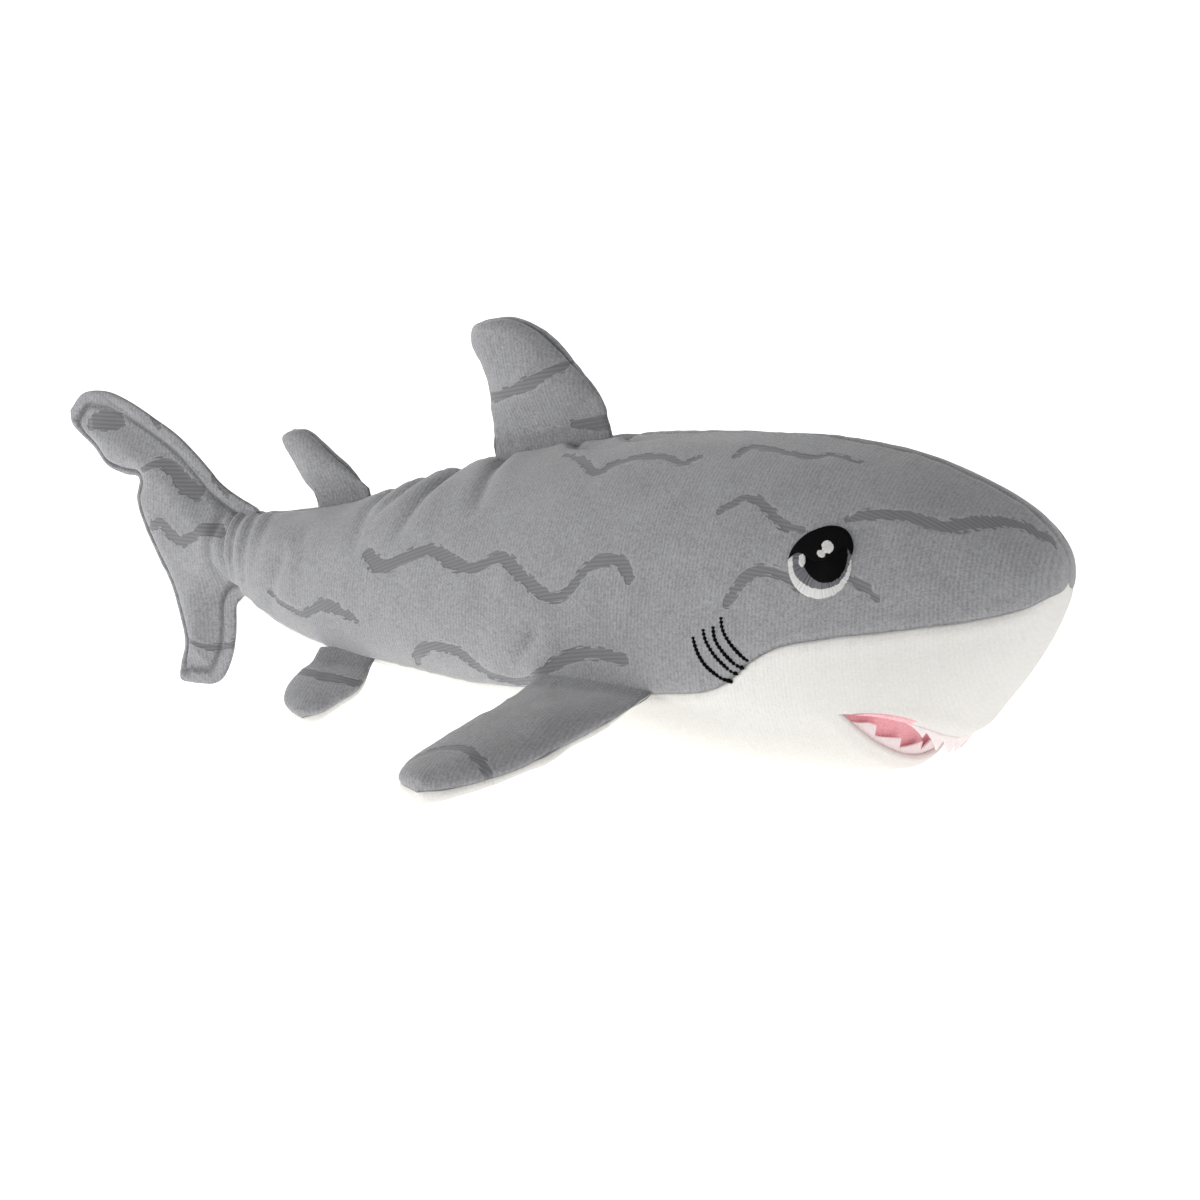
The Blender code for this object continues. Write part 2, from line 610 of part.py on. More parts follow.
def build_paired_fins(side, word):
    front = [(0.50, 0), (0.40, 0.25), (0.26, 0.50), (0.12, 0.71), (-0.06, 0.86),
             (-0.26, 0.965), (-0.44, 1.0)]
    rear = [(-0.50, 0), (-0.54, 0.23), (-0.57, 0.43), (-0.65, 0.61), (-0.72, 0.77),
            (-0.66, 0.93), (-0.44, 1.0)]
    build_pair("pectoral", side, word, PECTORAL_REAR_X, PECTORAL_ANGLE, PECTORAL_DIRECTION,
               (PECTORAL_CHORD, PECTORAL_SPAN, PECTORAL_THICKNESS), (front, rear))
    front = [(0.50, 0), (0.55, 0.24), (0.50, 0.47), (0.30, 0.71), (0.07, 0.90), (-0.15, 1.0)]
    rear = [(-0.50, 0), (-0.61, 0.26), (-0.66, 0.52), (-0.58, 0.77), (-0.38, 0.94),
            (-0.15, 1.0)]
    build_pair("pelvic", side, word, PELVIC_REAR_X, PELVIC_ANGLE, PELVIC_DIRECTION,
               (PELVIC_CHORD, PELVIC_SPAN, PELVIC_THICKNESS), (front, rear))


def build_pair(kind, side, word, rear_x, angle, direction, sizes, outline):
    chord, span, thickness = sizes
    ends = [skin_point(x, angle, side) for x in (rear_x + chord, rear_x)]
    level = (ends[0] + ends[1]) / 2
    ends = [np.array([e[0], level[1], level[2]]) for e in ends]
    outwards = (direction[0], side * direction[1], direction[2])
    fin = Fin(ends, outwards, chord, span, thickness, *outline)
    names = (f"{kind}_{word}_top_panel", f"{kind}_{word}_under_panel",
             f"{kind}_{word}_stuffing")
    if side == RIGHT:
        names = (names[1], names[0], names[2])
        fabrics = (materials["white"], materials["grey"], materials["fill"])
    else:
        fabrics = (materials["grey"], materials["white"], materials["fill"])
    build_fin(fin, names, fabrics)
    report_hinge(f"{kind} {word}", fin)


# Tail fin outline, front and rear edge from the lower tip to the upper tip: shares of the
# length behind the tail seam and of the height.
TAIL_FRONT = [(0.25, 0.000), (0.13, 0.008), (0.06, 0.055), (0.01, 0.155), (0.00, 0.275),
              (0.01, 0.385), (0.01, 0.505), (0.01, 0.625), (0.06, 0.690), (0.18, 0.775),
              (0.33, 0.860), (0.49, 0.922), (0.65, 0.975), (0.78, 1.000), (0.90, 0.990),
              (1.00, 0.920)]
TAIL_REAR = [(0.25, 0.000), (0.34, 0.010), (0.335, 0.070), (0.31, 0.145), (0.34, 0.240),
             (0.39, 0.345), (0.47, 0.440), (0.55, 0.545), (0.59, 0.630), (0.575, 0.705),
             (0.66, 0.715), (0.77, 0.740), (0.85, 0.805), (0.93, 0.850), (0.98, 0.880),
             (1.00, 0.920)]


def tail_surface(side, inset=0.0, thinner=0.0):
    """Half of the tail fin: a crescent, thickest where it joins the body."""
    front = np.array(TAIL_FRONT)
    rear = np.array(TAIL_REAR)
    across = np.sin(np.linspace(-1, 1, FIN_COLUMNS) * math.pi / 2)[None, :]
    scale = np.array([-TAIL_LENGTH, TAIL_HEIGHT])
    centre = (front + rear) / 2 * scale
    reach = (front - rear) / 2 * scale
    length = np.linalg.norm(reach, axis=1, keepdims=True)
    reach = reach * np.maximum(0, 1 - inset / np.maximum(length, 1e-6))
    flat = centre[:, None, :] + reach[:, None, :] * across[..., None]
    level = ((front + rear) / 2)[:, 1:]
    at_root = np.exp(-((level - TAIL_ROOT_LEVEL) / 0.14) ** 2)
    full = (TAIL_THICKNESS + (TAIL_ROOT_THICKNESS - TAIL_THICKNESS) * at_root) / 2
    full = full * np.minimum(1, length / 0.010)
    power = 2 + 3 * at_root
    half = full * np.sqrt(np.clip(1 - np.abs(across) ** power, 0, 1))
    half = np.maximum(half - thinner, 0)
    height = side * (half + (GAP / 2 if thinner == 0 else 0))
    x = flat[..., 0] + TAIL_HINGE - 2 * GAP - FIN_SKIN
    return np.stack([x, height, flat[..., 1] + TAIL_FLOOR], axis=-1)


def build_tail_fin():
    pivot = bpy.data.objects.new("caudal_fin_hinge", None)
    shark.objects.link(pivot)
    pivot.parent = root
    pivot.location = (TAIL_SEAM_X - TAIL_HINGE, 0, 0)
    for name, side in (("caudal_fin_right_panel", RIGHT), ("caudal_fin_left_panel", LEFT)):
        panel = add_sheet(name, tail_surface(side), FIN_SKIN, materials["grey"],
                          outwards=True, flip=side == RIGHT)
        panel.parent = pivot
    upper = tail_surface(1, FIN_FILL_ROOM, FIN_FILL_ROOM)
    lower = tail_surface(-1, FIN_FILL_ROOM, FIN_FILL_ROOM)
    ring = np.concatenate([upper, lower[:, -2:0:-1]], axis=1)
    filling = add_closed("caudal_fin_stuffing", ring, materials["fill"])
    filling.parent = pivot


def report_hinge(name, fin):
    ahead = ", ".join(f"{v:.5f}" for v in fin.ahead)
    centre = ", ".join(f"{v:.5f}" for v in fin.centre)
    print(f"{name} hinge through ({centre}) along ({ahead}), hub {fin.hub * 1000:.2f} mm")


# ---------------------------------------------------------------- assembly
for old in list(bpy.data.objects):
    bpy.data.objects.remove(old, do_unlink=True)

shark = bpy.data.collections.new("plush_shark")
bpy.context.scene.collection.children.link(shark)
guides = bpy.data.collections.new("cutters")
bpy.context.scene.collection.children.link(guides)
root = bpy.data.objects.new("plush_shark_root", None)
shark.objects.link(root)

materials = {
    "grey": make_material("grey_plush", GREY, 0.95),
    "white": make_material("white_plush", WHITE, 0.95),
    "fill": make_material("polyester_filling", FILL, 1.0),
    "pink": make_material("pink_lining", PINK, 0.85),
    "felt": make_material("felt", FELT_WHITE, 0.95),
    "black": make_material("black_thread", BLACK, 0.5),
    "iris": make_material("iris_thread", IRIS, 0.5),
    "eye white": make_material("white_thread", EYE_WHITE, 0.5),
}

build_side_panel("side_panel_right", RIGHT, materials["grey"])
build_side_panel("side_panel_left", LEFT, materials["grey"])
build_belly_panel(materials["white"])
build_body_stuffing(materials["fill"])
build_mouth(materials)
build_dorsal_fins()
build_tail_fin()
for body_side, side_word in ((RIGHT, "right"), (LEFT, "left")):
    build_eye(body_side, side_word)
    build_gills(body_side, side_word)
    build_paired_fins(body_side, side_word)
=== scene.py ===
# %% [markdown]
# # A plush shark, sewn and stuffed
# The toy is three body panels of short-pile knit over polyester filling, a lined mouth with
# felt teeth, embroidered eyes and gills, and seven two-panel fins sewn into the body's seams.
# Here every fabric piece gets its fine surface: its seams, puckers and folds, its pile, and
# the places where the knit was left without pile to draw the grey marks.

# %% Frame
import math

import bmesh
import bpy
import numpy as np
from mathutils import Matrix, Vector


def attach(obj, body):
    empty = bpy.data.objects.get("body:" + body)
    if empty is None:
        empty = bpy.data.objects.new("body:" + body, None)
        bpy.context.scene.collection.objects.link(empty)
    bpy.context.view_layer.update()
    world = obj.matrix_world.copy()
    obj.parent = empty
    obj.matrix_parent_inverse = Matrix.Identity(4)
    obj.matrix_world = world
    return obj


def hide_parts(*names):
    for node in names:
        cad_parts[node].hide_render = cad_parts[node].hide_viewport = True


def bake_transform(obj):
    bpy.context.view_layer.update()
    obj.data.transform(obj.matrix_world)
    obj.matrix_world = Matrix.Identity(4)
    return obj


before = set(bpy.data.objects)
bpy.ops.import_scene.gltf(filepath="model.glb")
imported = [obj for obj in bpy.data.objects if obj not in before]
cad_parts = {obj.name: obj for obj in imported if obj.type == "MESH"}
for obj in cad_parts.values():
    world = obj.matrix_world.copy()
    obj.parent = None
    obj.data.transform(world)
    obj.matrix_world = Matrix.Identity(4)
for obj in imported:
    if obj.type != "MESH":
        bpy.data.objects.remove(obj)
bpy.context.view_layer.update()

# %% [markdown]
# ## The body's form
# A stuffed body has no flat parts: each cross section is a soft oval, fuller at the belly.
# So its surface is one function of two numbers, the station along the body and the angle
# round it, and every panel, eye and gill is laid on that same function.

# %% The body's surface
BODY_LENGTH = 0.3540
BODY_WIDTH = 0.1200
BODY_HEIGHT = 0.1200
TAIL_SEAM_X = -0.1358
NOSE_X = TAIL_SEAM_X + BODY_LENGTH
NOSE_LEVEL = 0.652      # height of the nose tip, as a share of the body's height
RIGHT, LEFT = -1, 1
STATIONS = np.array([      # along, half width, top, underside and widest level, as shares
    (0.000, 0.096, 0.605, 0.380, 0.492),
    (0.071, 0.167, 0.622, 0.248, 0.442),
    (0.161, 0.258, 0.680, 0.180, 0.408),
    (0.268, 0.354, 0.785, 0.145, 0.408),
    (0.387, 0.425, 0.887, 0.092, 0.417),
    (0.506, 0.475, 0.955, 0.022, 0.425),
    (0.624, 0.500, 0.990, -0.004, 0.433),
    (0.731, 0.488, 0.997, -0.007, 0.458),
    (0.825, 0.425, 0.965, 0.013, 0.492),
    (0.898, 0.333, 0.902, 0.135, 0.542),
    (0.952, 0.233, 0.832, 0.318, 0.592),
    (0.988, 0.129, 0.740, 0.508, 0.625),
    (1.000, 0.000, NOSE_LEVEL, NOSE_LEVEL, NOSE_LEVEL),
])
LAST = len(STATIONS) - 1
SEAM_X = TAIL_SEAM_X + BODY_LENGTH * np.array([
    -0.0034, 0.2424, 0.3695, 0.4684, 0.6096, 0.6774, 0.7056, 0.7226, 0.7565,
    0.8215, 0.8921, 0.9345, 0.9710, 0.9824, 0.9887, 0.9950, 0.9974, 0.9984, 1.0000])
SEAM_ANGLE = np.radians([-62, -52, -45, -30, -23, -20, -15, -8, -2.5, -1, -3, -7, -14,
                         -19.5, -22, -27, -55, -90, -90])


def smooth_rows(rows, at, before, after):
    """Catmull-Rom curve through rows, read at positions 0..len-1, with two end guides."""
    padded = np.vstack([before, rows, after])
    at = np.asarray(at, dtype=float)
    i = np.clip(np.floor(at).astype(int), 0, len(rows) - 2)
    t = (at - i)[:, None]
    a, b, c, d = padded[i], padded[i + 1], padded[i + 2], padded[i + 3]
    return b + 0.5 * t * (c - a + t * (2 * a - 5 * b + 4 * c - d + t * (3 * (b - c) + d - a)))


def smooth_at(points, share):
    """The smooth curve through a short list of points, read at shares 0..1 of the list."""
    rows = np.array(points, dtype=float)
    return smooth_rows(rows, share * (len(rows) - 1), 2 * rows[0] - rows[1],
                       2 * rows[-1] - rows[-2])


def smooth_line(points, count):
    """A smooth curve of count points through a short list of points."""
    return smooth_at(points, np.linspace(0, 1, count))


def path_length(points):
    """Length along a curve, up to each of its points."""
    return np.append(0, np.cumsum(np.linalg.norm(np.diff(points, axis=0), axis=1)))


def unit(vectors):
    """Vectors divided by their lengths; one without length stays zero."""
    return vectors / np.maximum(np.linalg.norm(vectors, axis=-1, keepdims=True), 1e-12)


def body_rows(u):
    """x, half width, top, underside and widest level of the body at stations u."""
    nose = STATIONS[-2] * np.array([1, -1, 1, 1, -1]) + np.array([0, 0, 0, 0, 2 * NOSE_LEVEL])
    nose[2], nose[3] = STATIONS[-2][3], STATIONS[-2][2]
    tail = 2 * STATIONS[0] - STATIONS[1]
    along, half, top, under, wide = smooth_rows(STATIONS, u, tail, nose).T
    x = TAIL_SEAM_X + along * BODY_LENGTH
    return (x, np.maximum(half, 0) * BODY_WIDTH, top * BODY_HEIGHT, under * BODY_HEIGHT,
            wide * BODY_HEIGHT)


def body_point(u, angle, side):
    """Skin point: a superellipse half section, angle 90 degrees on the back, -90 below."""
    u, angle, side = np.broadcast_arrays(u, angle, side)
    x, half, top, under, wide = (v.reshape(u.shape) for v in body_rows(u.ravel()))
    cos, sin = np.cos(angle), np.sin(angle)
    power = np.where(sin > 0, 2.0, 2.2)
    y = half * np.abs(cos) ** (2 / power)
    rise = np.where(sin > 0, top - wide, wide - under)
    z = wide + rise * np.sign(sin) * np.abs(sin) ** (2 / power)
    return np.stack([x, side * y, np.maximum(z, 0.0)], axis=-1)


TABLE_U = np.linspace(0, LAST, 2401)
TABLE_ROWS = body_rows(TABLE_U)
TABLE_X = np.maximum.accumulate(TABLE_ROWS[0])
PROFILE = np.stack([TABLE_ROWS[0], TABLE_ROWS[1], TABLE_ROWS[2]], axis=1)
TABLE_LENGTH = path_length(PROFILE)


def station_at(x):
    """The station u at a place x along the body."""
    return np.interp(x, TABLE_X, TABLE_U)


TABLE_SEAM = np.interp(TABLE_X, SEAM_X, SEAM_ANGLE)
for repeat in range(3):      # soften the corners of the seam line over about 6 mm
    reach = np.minimum(0.003, 0.4 * (TABLE_X[-1] - TABLE_X))
    around = TABLE_X[:, None] + reach[:, None] * np.array([-1, 0, 1])
    spread = np.interp(around, TABLE_X, TABLE_SEAM)
    TABLE_SEAM = spread @ np.array([0.25, 0.5, 0.25])


def seam_angle(u):
    """Angle of the seam between grey side and white belly."""
    return np.interp(np.ravel(u), TABLE_U, TABLE_SEAM).reshape(np.shape(u))


print("body surface from x", round(TABLE_X[0], 4), "to", round(TABLE_X[-1], 4))

# %% [markdown]
# ## Tools for fabric
# A fabric piece is a fine grid. Three things give it its life: how far each point is from
# the nearest seam, where the folds run, and an even-handed unevenness from the filling.
# The grid is moved along its own normals by the sum of them.

# %% Grids, distances and noise
FAR = 50.0      # mm, a distance at which a mark or a seam no longer shows


def normals(points):
    """Unit normals of a grid: the cross product of its two directions."""
    return unit(np.cross(np.gradient(points, axis=0), np.gradient(points, axis=1)))


def raised(points, out, relief):
    """The grid moved along its normals by the relief in mm, and kept above the table."""
    points = points + out * relief[..., None] / 1000
    points[..., 2] = np.maximum(points[..., 2], 0.0)
    return points


def row_length(points):
    """Length from the first column, along each row."""
    step = np.linalg.norm(np.diff(points, axis=1), axis=-1)
    return np.concatenate([np.zeros((len(points), 1)), np.cumsum(step, axis=1)], axis=1)


def eased(value):
    """A step from 0 to 1 that starts and ends gently: 3 v squared less 2 v cubed."""
    value = np.clip(value, 0, 1)
    return value * value * (3 - 2 * value)


def value_noise(a, b, seed):
    """Smooth noise from -1 to 1: random heights on a unit lattice, eased in between."""
    heights = np.random.default_rng(seed).uniform(-1, 1, (64, 64))
    i, j = np.floor(a).astype(int), np.floor(b).astype(int)
    s, t = eased(a - i), eased(b - j)
    corner = [heights[(i + p) % 64, (j + q) % 64] for p in (0, 1) for q in (0, 1)]
    low = corner[0] * (1 - t) + corner[1] * t
    high = corner[2] * (1 - t) + corner[3] * t
    return low * (1 - s) + high * s


def stroke_distance(plane, line, widths=(0, 0)):
    """Distance from each point of the plane to a line of changing width, minus its half."""
    line = smooth_line(line, 6 * len(line))
    half = np.interp(np.linspace(0, 1, len(line)), np.linspace(0, 1, len(widths)), widths) / 2
    best = np.full(plane.shape[:-1], 1e3)
    for start, end, h0, h1 in zip(line[:-1], line[1:], half[:-1], half[1:]):
        way = end - start
        t = np.clip(((plane - start) @ way) / max(way @ way, 1e-9), 0, 1)
        away = np.linalg.norm(plane - start - t[..., None] * way, axis=-1)
        best = np.minimum(best, away - (h0 + (h1 - h0) * t))
    return best


def mark_distance(plane, marks):
    """Distance in mm to the edge of the nearest of several marks."""
    nearest = np.full(plane.shape[:-1], FAR)
    for line, widths in marks:
        nearest = np.minimum(nearest, stroke_distance(plane, line, widths))
    return nearest


def fold(plane, line, depth, width):
    """A pinched fold: a valley of this depth in mm with a soft ridge along both sides."""
    away = stroke_distance(plane, line)
    start, end = np.array(line[0], float), np.array(line[-1], float)
    way = end - start
    t = ((plane - start) @ way) / (way @ way)
    fade = np.clip(1.15 - np.clip(t, 0, 1.2), 0, 1) ** 0.7
    return fade * depth * (-np.exp(-(away / width) ** 2)
                           + 0.35 * np.exp(-((away - 2.4 * width) / (1.6 * width)) ** 2))


def seam_relief(away, along, seed, depth=1.0, width=1.3, pucker=0.35):
    """Relief near a seam, in mm: a groove, the fabric's roll beside it, and puckers."""
    groove = -depth * np.exp(-(away / width) ** 2)
    roll = 0.30 * depth * np.exp(-((away - 3.2 * width) / (1.9 * width)) ** 2)
    tugs = value_noise(along / 5.0, along * 0 + 0.5, seed)
    tugs = tugs + 0.6 * value_noise(along / 2.3, along * 0 + 3.5, seed)
    return groove + roll + pucker * tugs * np.exp(-np.abs(away - width) / 4.5)


def new_object(name, data):
    """An object in the scene, at the origin."""
    made = bpy.data.objects.new(name, data)
    bpy.context.scene.collection.objects.link(made)
    return made


def piece(name, grids, fabric, replaced):
    """A named mesh from grids. Each has points, its cloth coordinates in metres, its distances
    in mm to the nearest carved mark and to the painted shade along seams, creases, fin roots and
    stitch lines, and whether its faces are turned over."""
    material, slot = fabric
    points, cloth, bake, quads = [], [], [], []
    measured = {"mark": [], "seam": []}
    first = 0
    for at, grid in enumerate(grids):
        rows, columns = grid["points"].shape[:2]
        index = first + np.arange(rows * columns).reshape(rows, columns)
        corners = [index[:-1, :-1], index[1:, :-1], index[1:, 1:], index[:-1, 1:]]
        quad = np.stack(corners, axis=-1).reshape(-1, 4)
        quads.append(quad[:, ::-1] if grid.get("flip") else quad)
        points.append(grid["points"].reshape(-1, 3))
        cloth.append(grid["cloth"].reshape(-1, 2))
        for key, values in measured.items():
            values.append(grid.get(key, np.full((rows, columns), FAR)).ravel())
        v, u = np.meshgrid(np.linspace(0, 1, rows), np.linspace(0, 1, columns), indexing="ij")
        share = 1 / len(grids)
        bake.append(np.stack([(at + 0.01 + 0.98 * u) * share, v], axis=-1).reshape(-1, 2))
        first += rows * columns
    points, quads = np.concatenate(points), np.concatenate(quads)
    mesh = bpy.data.meshes.new(name)
    mesh.vertices.add(len(points))
    mesh.vertices.foreach_set("co", points.astype(np.float32).ravel())
    mesh.loops.add(quads.size)
    mesh.loops.foreach_set("vertex_index", quads.ravel().astype(np.int32))
    mesh.polygons.add(len(quads))
    mesh.polygons.foreach_set("loop_start", np.arange(0, quads.size, 4, dtype=np.int32))
    mesh.update(calc_edges=True)
    for layer, values in (("OFBake", bake), ("cloth", cloth)):
        uv = mesh.uv_layers.new(name=layer)
        values = np.concatenate(values)[quads.ravel()]
        uv.uv.foreach_set("vector", values.astype(np.float32).ravel())
    for key, values in measured.items():
        attribute = mesh.attributes.new(key, "FLOAT", "POINT")
        attribute.data.foreach_set("value", np.concatenate(values).astype(np.float32))
    mesh.materials.append(material)
    mesh.shade_smooth()
    close_poles(mesh)
    made = new_object(name, mesh)
    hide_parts(*replaced)
    print(name, len(mesh.vertices), "points")
    return made


def close_poles(mesh):
    """Merge points that lie on each other, at a grid's poles and where two grids meet."""
    work = bmesh.new()
    work.from_mesh(mesh)
    bmesh.ops.remove_doubles(work, verts=work.verts, dist=0.000004)
    work.to_mesh(mesh)
    work.free()


# %% [markdown]
# ## Fabrics and threads
# The skin is a velvety knit: a short dense pile that lightens towards grazing light. Its
# marks are knitted without pile, so they lie a little lower, look darker, show the rows of
# the knit, and end in steps along those rows. The belly is the same knit in white, the
# mouth is brushed pink lining, the teeth are felt, and the eyes are shiny satin stitch.

# %% Materials
WALE, ROW, BARE_LINE = 1.45, 1.25, 1.5      # mm, the knit's spacings, and its bare lines
STITCH_RUN = 3.2      # mm, stitches that end together at a mark's edge
THREAD = 0.42      # mm between the threads of a satin stitch


def linear(colour):
    """A display colour such as #8D8E92 as linear values."""
    v = np.array([int(colour[i:i + 2], 16) for i in (1, 3, 5)]) / 255
    v = np.where(v <= 0.04045, v / 12.92, ((v + 0.055) / 1.055) ** 2.4)
    return (*(float(c) for c in v), 1.0)


def fill(tree, node, inputs):
    """Fill a node's inputs with values or links."""
    for key, value in inputs.items():
        if isinstance(value, bpy.types.NodeSocket):
            tree.links.new(value, node.inputs[key])
        else:
            node.inputs[key].default_value = value
    return node


def add(tree, kind, inputs=None, **settings):
    """Add a node, set its options, and fill its inputs."""
    made = tree.nodes.new(kind)
    for key, value in settings.items():
        setattr(made, key, value)
    return fill(tree, made, inputs or {})


def calc(tree, operation, a, b=0.0, c=0.0):
    """One arithmetic step."""
    return add(tree, "ShaderNodeMath", {0: a, 1: b, 2: c}, operation=operation).outputs[0]


def mixed(tree, factor, a, b):
    """Colour a, going over to colour b as the factor goes from 0 to 1."""
    made = add(tree, "ShaderNodeMix", {0: factor, 6: a, 7: b}, data_type="RGBA")
    return made.outputs[2]


def ramp(tree, value, low, high, to_low=0.0, to_high=1.0):
    """A smooth step from low to high."""
    made = add(tree, "ShaderNodeMapRange", {0: value, 1: low, 2: high, 3: to_low, 4: to_high},
               interpolation_type="SMOOTHSTEP")
    return made.outputs[0]


def new_material(name):
    """A material with its node tree and its main shader."""
    material = bpy.data.materials.new(name)
    material.use_nodes = True
    return material, material.node_tree, material.node_tree.nodes["Principled BSDF"]


def millimetres(tree):
    """The fabric's own coordinates, in millimetres along and across the knit."""
    place = add(tree, "ShaderNodeUVMap", uv_map="cloth").outputs[0]
    scaled = add(tree, "ShaderNodeVectorMath", {0: place, 3: 1000.0}, operation="SCALE")
    split = add(tree, "ShaderNodeSeparateXYZ", {0: scaled.outputs[0]})
    return split.outputs[0], split.outputs[1]


def noise(tree, size_mm, detail=2.0, rough=0.6):
    """Noise whose features are about this many millimetres across."""
    place = add(tree, "ShaderNodeTexCoord").outputs["Object"]
    return add(tree, "ShaderNodeTexNoise", {"Vector": place, "Scale": 1000.0 / size_mm,
                                            "Detail": detail, "Roughness": rough}).outputs[0]


def plush(name, pile, shade, carved, painted_shade, sheen, contrast=1.0):
    """Velvety knit pile, with marks where the pile is missing, and painted shade near seams and
    creases.
    """
    material, tree, shader = new_material(name)
    along, across = millimetres(tree)
    fibres = noise(tree, 0.45, 3.0, 0.8)
    tufts = noise(tree, 1.2, 2.0)
    clouds = noise(tree, 14.0, 2.0)
    wander = calc(tree, "MULTIPLY", noise(tree, 2.4, 1.0), 2.6)
    wales = calc(tree, "SINE", calc(tree, "MULTIPLY_ADD", along, math.tau / WALE, wander))
    rows = calc(tree, "SINE", calc(tree, "MULTIPLY_ADD", across, math.tau / ROW, wander))
    knit = calc(tree, "MULTIPLY_ADD", calc(tree, "MULTIPLY", wales, rows), 0.8, wales)
    light = calc(tree, "MULTIPLY_ADD", fibres, 0.60, calc(tree, "MULTIPLY", tufts, 0.35))
    light = calc(tree, "ADD", light, calc(tree, "MULTIPLY", clouds, 0.12))
    light = calc(tree, "MULTIPLY_ADD", knit, 0.030, light)
    tone = ramp(tree, light, 0.535 - 0.17 / contrast, 0.535 + 0.17 / contrast)
    skin = mixed(tree, tone, linear(shade), linear(pile))
    # The mark's edge moves in steps, one step for each short run of stitches in a row.
    run = calc(tree, "FLOOR", calc(tree, "DIVIDE", along, STITCH_RUN))
    row = calc(tree, "FLOOR", calc(tree, "DIVIDE", across, ROW))
    stitch = add(tree, "ShaderNodeCombineXYZ", {0: run, 1: row}).outputs[0]
    step = add(tree, "ShaderNodeTexWhiteNoise", {"Vector": stitch},
               noise_dimensions="2D").outputs[0]
    distance = add(tree, "ShaderNodeAttribute", attribute_name="mark").outputs["Fac"]
    distance = calc(tree, "ADD", distance, calc(tree, "MULTIPLY_ADD", step, 1.5, -0.75))
    bare = ramp(tree, distance, 0.16, -0.16)
    rim = calc(tree, "MULTIPLY", ramp(tree, distance, 0.9, 0.25),
               calc(tree, "SUBTRACT", 1.0, bare))
    lines = calc(tree, "SINE", calc(tree, "MULTIPLY", across, math.tau / BARE_LINE))
    lines = calc(tree, "MULTIPLY_ADD", fibres, 3.0, calc(tree, "ADD", lines, -1.5))
    under = mixed(tree, ramp(tree, lines, -0.8, 1.4, 0.0, 0.85), linear(carved), linear(shade))
    rimmed = mixed(tree, calc(tree, "MULTIPLY", rim, 0.35), skin, linear(pile))
    colour = mixed(tree, bare, rimmed, under)
    # Painted shade: the colour goes over to the shade colour near seams, creases, fin roots and
    # stitch lines, by the distance stored as seam.
    seam = add(tree, "ShaderNodeAttribute", attribute_name="seam").outputs["Fac"]
    seam = calc(tree, "ADD", seam, calc(tree, "MULTIPLY_ADD", tufts, 0.8, -0.4))
    colour = mixed(tree, ramp(tree, seam, 0.95, 0.1, 0.0, 0.42), colour, linear(painted_shade))
    height = calc(tree, "MULTIPLY_ADD", fibres, 0.50, calc(tree, "MULTIPLY", tufts, 0.35))
    height = calc(tree, "MULTIPLY_ADD", knit, 0.05, height)
    low = calc(tree, "MULTIPLY_ADD", lines, 0.05, -0.45)
    level = add(tree, "ShaderNodeMix", {0: bare, 2: height, 3: low}, data_type="FLOAT")
    bump = add(tree, "ShaderNodeBump", {"Strength": 0.7, "Distance": 0.0010,
                                        "Height": level.outputs[0]})
    fill(tree, shader, {"Base Color": colour, "Roughness": 0.95, "Specular IOR Level": 0.15,
                        "Sheen Weight": sheen, "Sheen Roughness": 0.38,
                        "Normal": bump.outputs[0]})
    return material


def brushed(name, colour, shade, size_mm, depth, sheen=0.2):
    """A brushed lining or felt: short tangled fibres, without knit rows."""
    material, tree, shader = new_material(name)
    fibres = noise(tree, size_mm, 4.0, 0.7)
    skin = mixed(tree, ramp(tree, fibres, 0.3, 0.7), linear(shade), linear(colour))
    bump = add(tree, "ShaderNodeBump", {"Strength": 0.5, "Distance": depth, "Height": fibres})
    fill(tree, shader, {"Base Color": skin, "Normal": bump.outputs[0], "Roughness": 0.95,
                        "Specular IOR Level": 0.1, "Sheen Weight": sheen})
    return material


def satin(name, colour, shade, roughness=0.42, shine=0.4):
    """Satin stitch: shiny threads side by side, some bundles lighter than others."""
    material, tree, shader = new_material(name)
    along, _ = millimetres(tree)
    wobble = calc(tree, "MULTIPLY", noise(tree, 1.5, 1.0), 2.2)
    phase = calc(tree, "MULTIPLY_ADD", along, math.tau / THREAD, wobble)
    thread = calc(tree, "SINE", phase)
    bundle = add(tree, "ShaderNodeTexNoise", {"W": along, "Scale": 1.3, "Detail": 2.0},
                 noise_dimensions="1D").outputs[0]
    tone = calc(tree, "MULTIPLY_ADD", thread, 0.12, bundle)
    skin = mixed(tree, ramp(tree, tone, 0.32, 0.68), linear(shade), linear(colour))
    bump = add(tree, "ShaderNodeBump", {"Strength": 0.6, "Distance": 0.00025, "Height": thread})
    fill(tree, shader, {"Base Color": skin, "Normal": bump.outputs[0], "Roughness": roughness,
                        "Specular IOR Level": shine})
    return material


# Each fabric is a material and the name of its slot.
GREY = (plush("grey_short_pile_plush", "#AEAEB0", "#868689", "#757578", "#5A5A5E", 0.60),
        "grey_plush")
WHITE = (plush("white_short_pile_plush", "#F1EFEB", "#E5E3DE", "#DCD9D3", "#BFBCB6", 0.08, 0.8),
         "white_plush")
PINK = (brushed("pink_brushed_lining", "#FFCCD2", "#F6ABB5", 0.9, 0.0005, 0.5), "pink_lining")
FELT = (brushed("white_felt", "#F7EFEE", "#EADFDE", 0.7, 0.0004), "felt")
BLACK_THREAD = (satin("black_satin_thread", "#0A0A0C", "#030304", 0.65, 0.06), "black_thread")
IRIS_THREAD = (satin("grey_satin_thread", "#85858A", "#58585D", shine=0.25), "iris_thread")
WHITE_THREAD = (satin("white_satin_thread", "#F3F2F0", "#DAD9D7"), "white_thread")
print("materials ready")

# %% [markdown]
# ## Body panels
# Two grey sides meet along the back in the dorsal seam, and each meets the white belly low
# on the flank. Seams pull inwards, so each edge lies in a groove with small puckers, and
# the cloth beyond it turns inside as the seam allowance. Folds run down from the back ahead
# of the tail, where the toy bends, and round the narrow tail root.

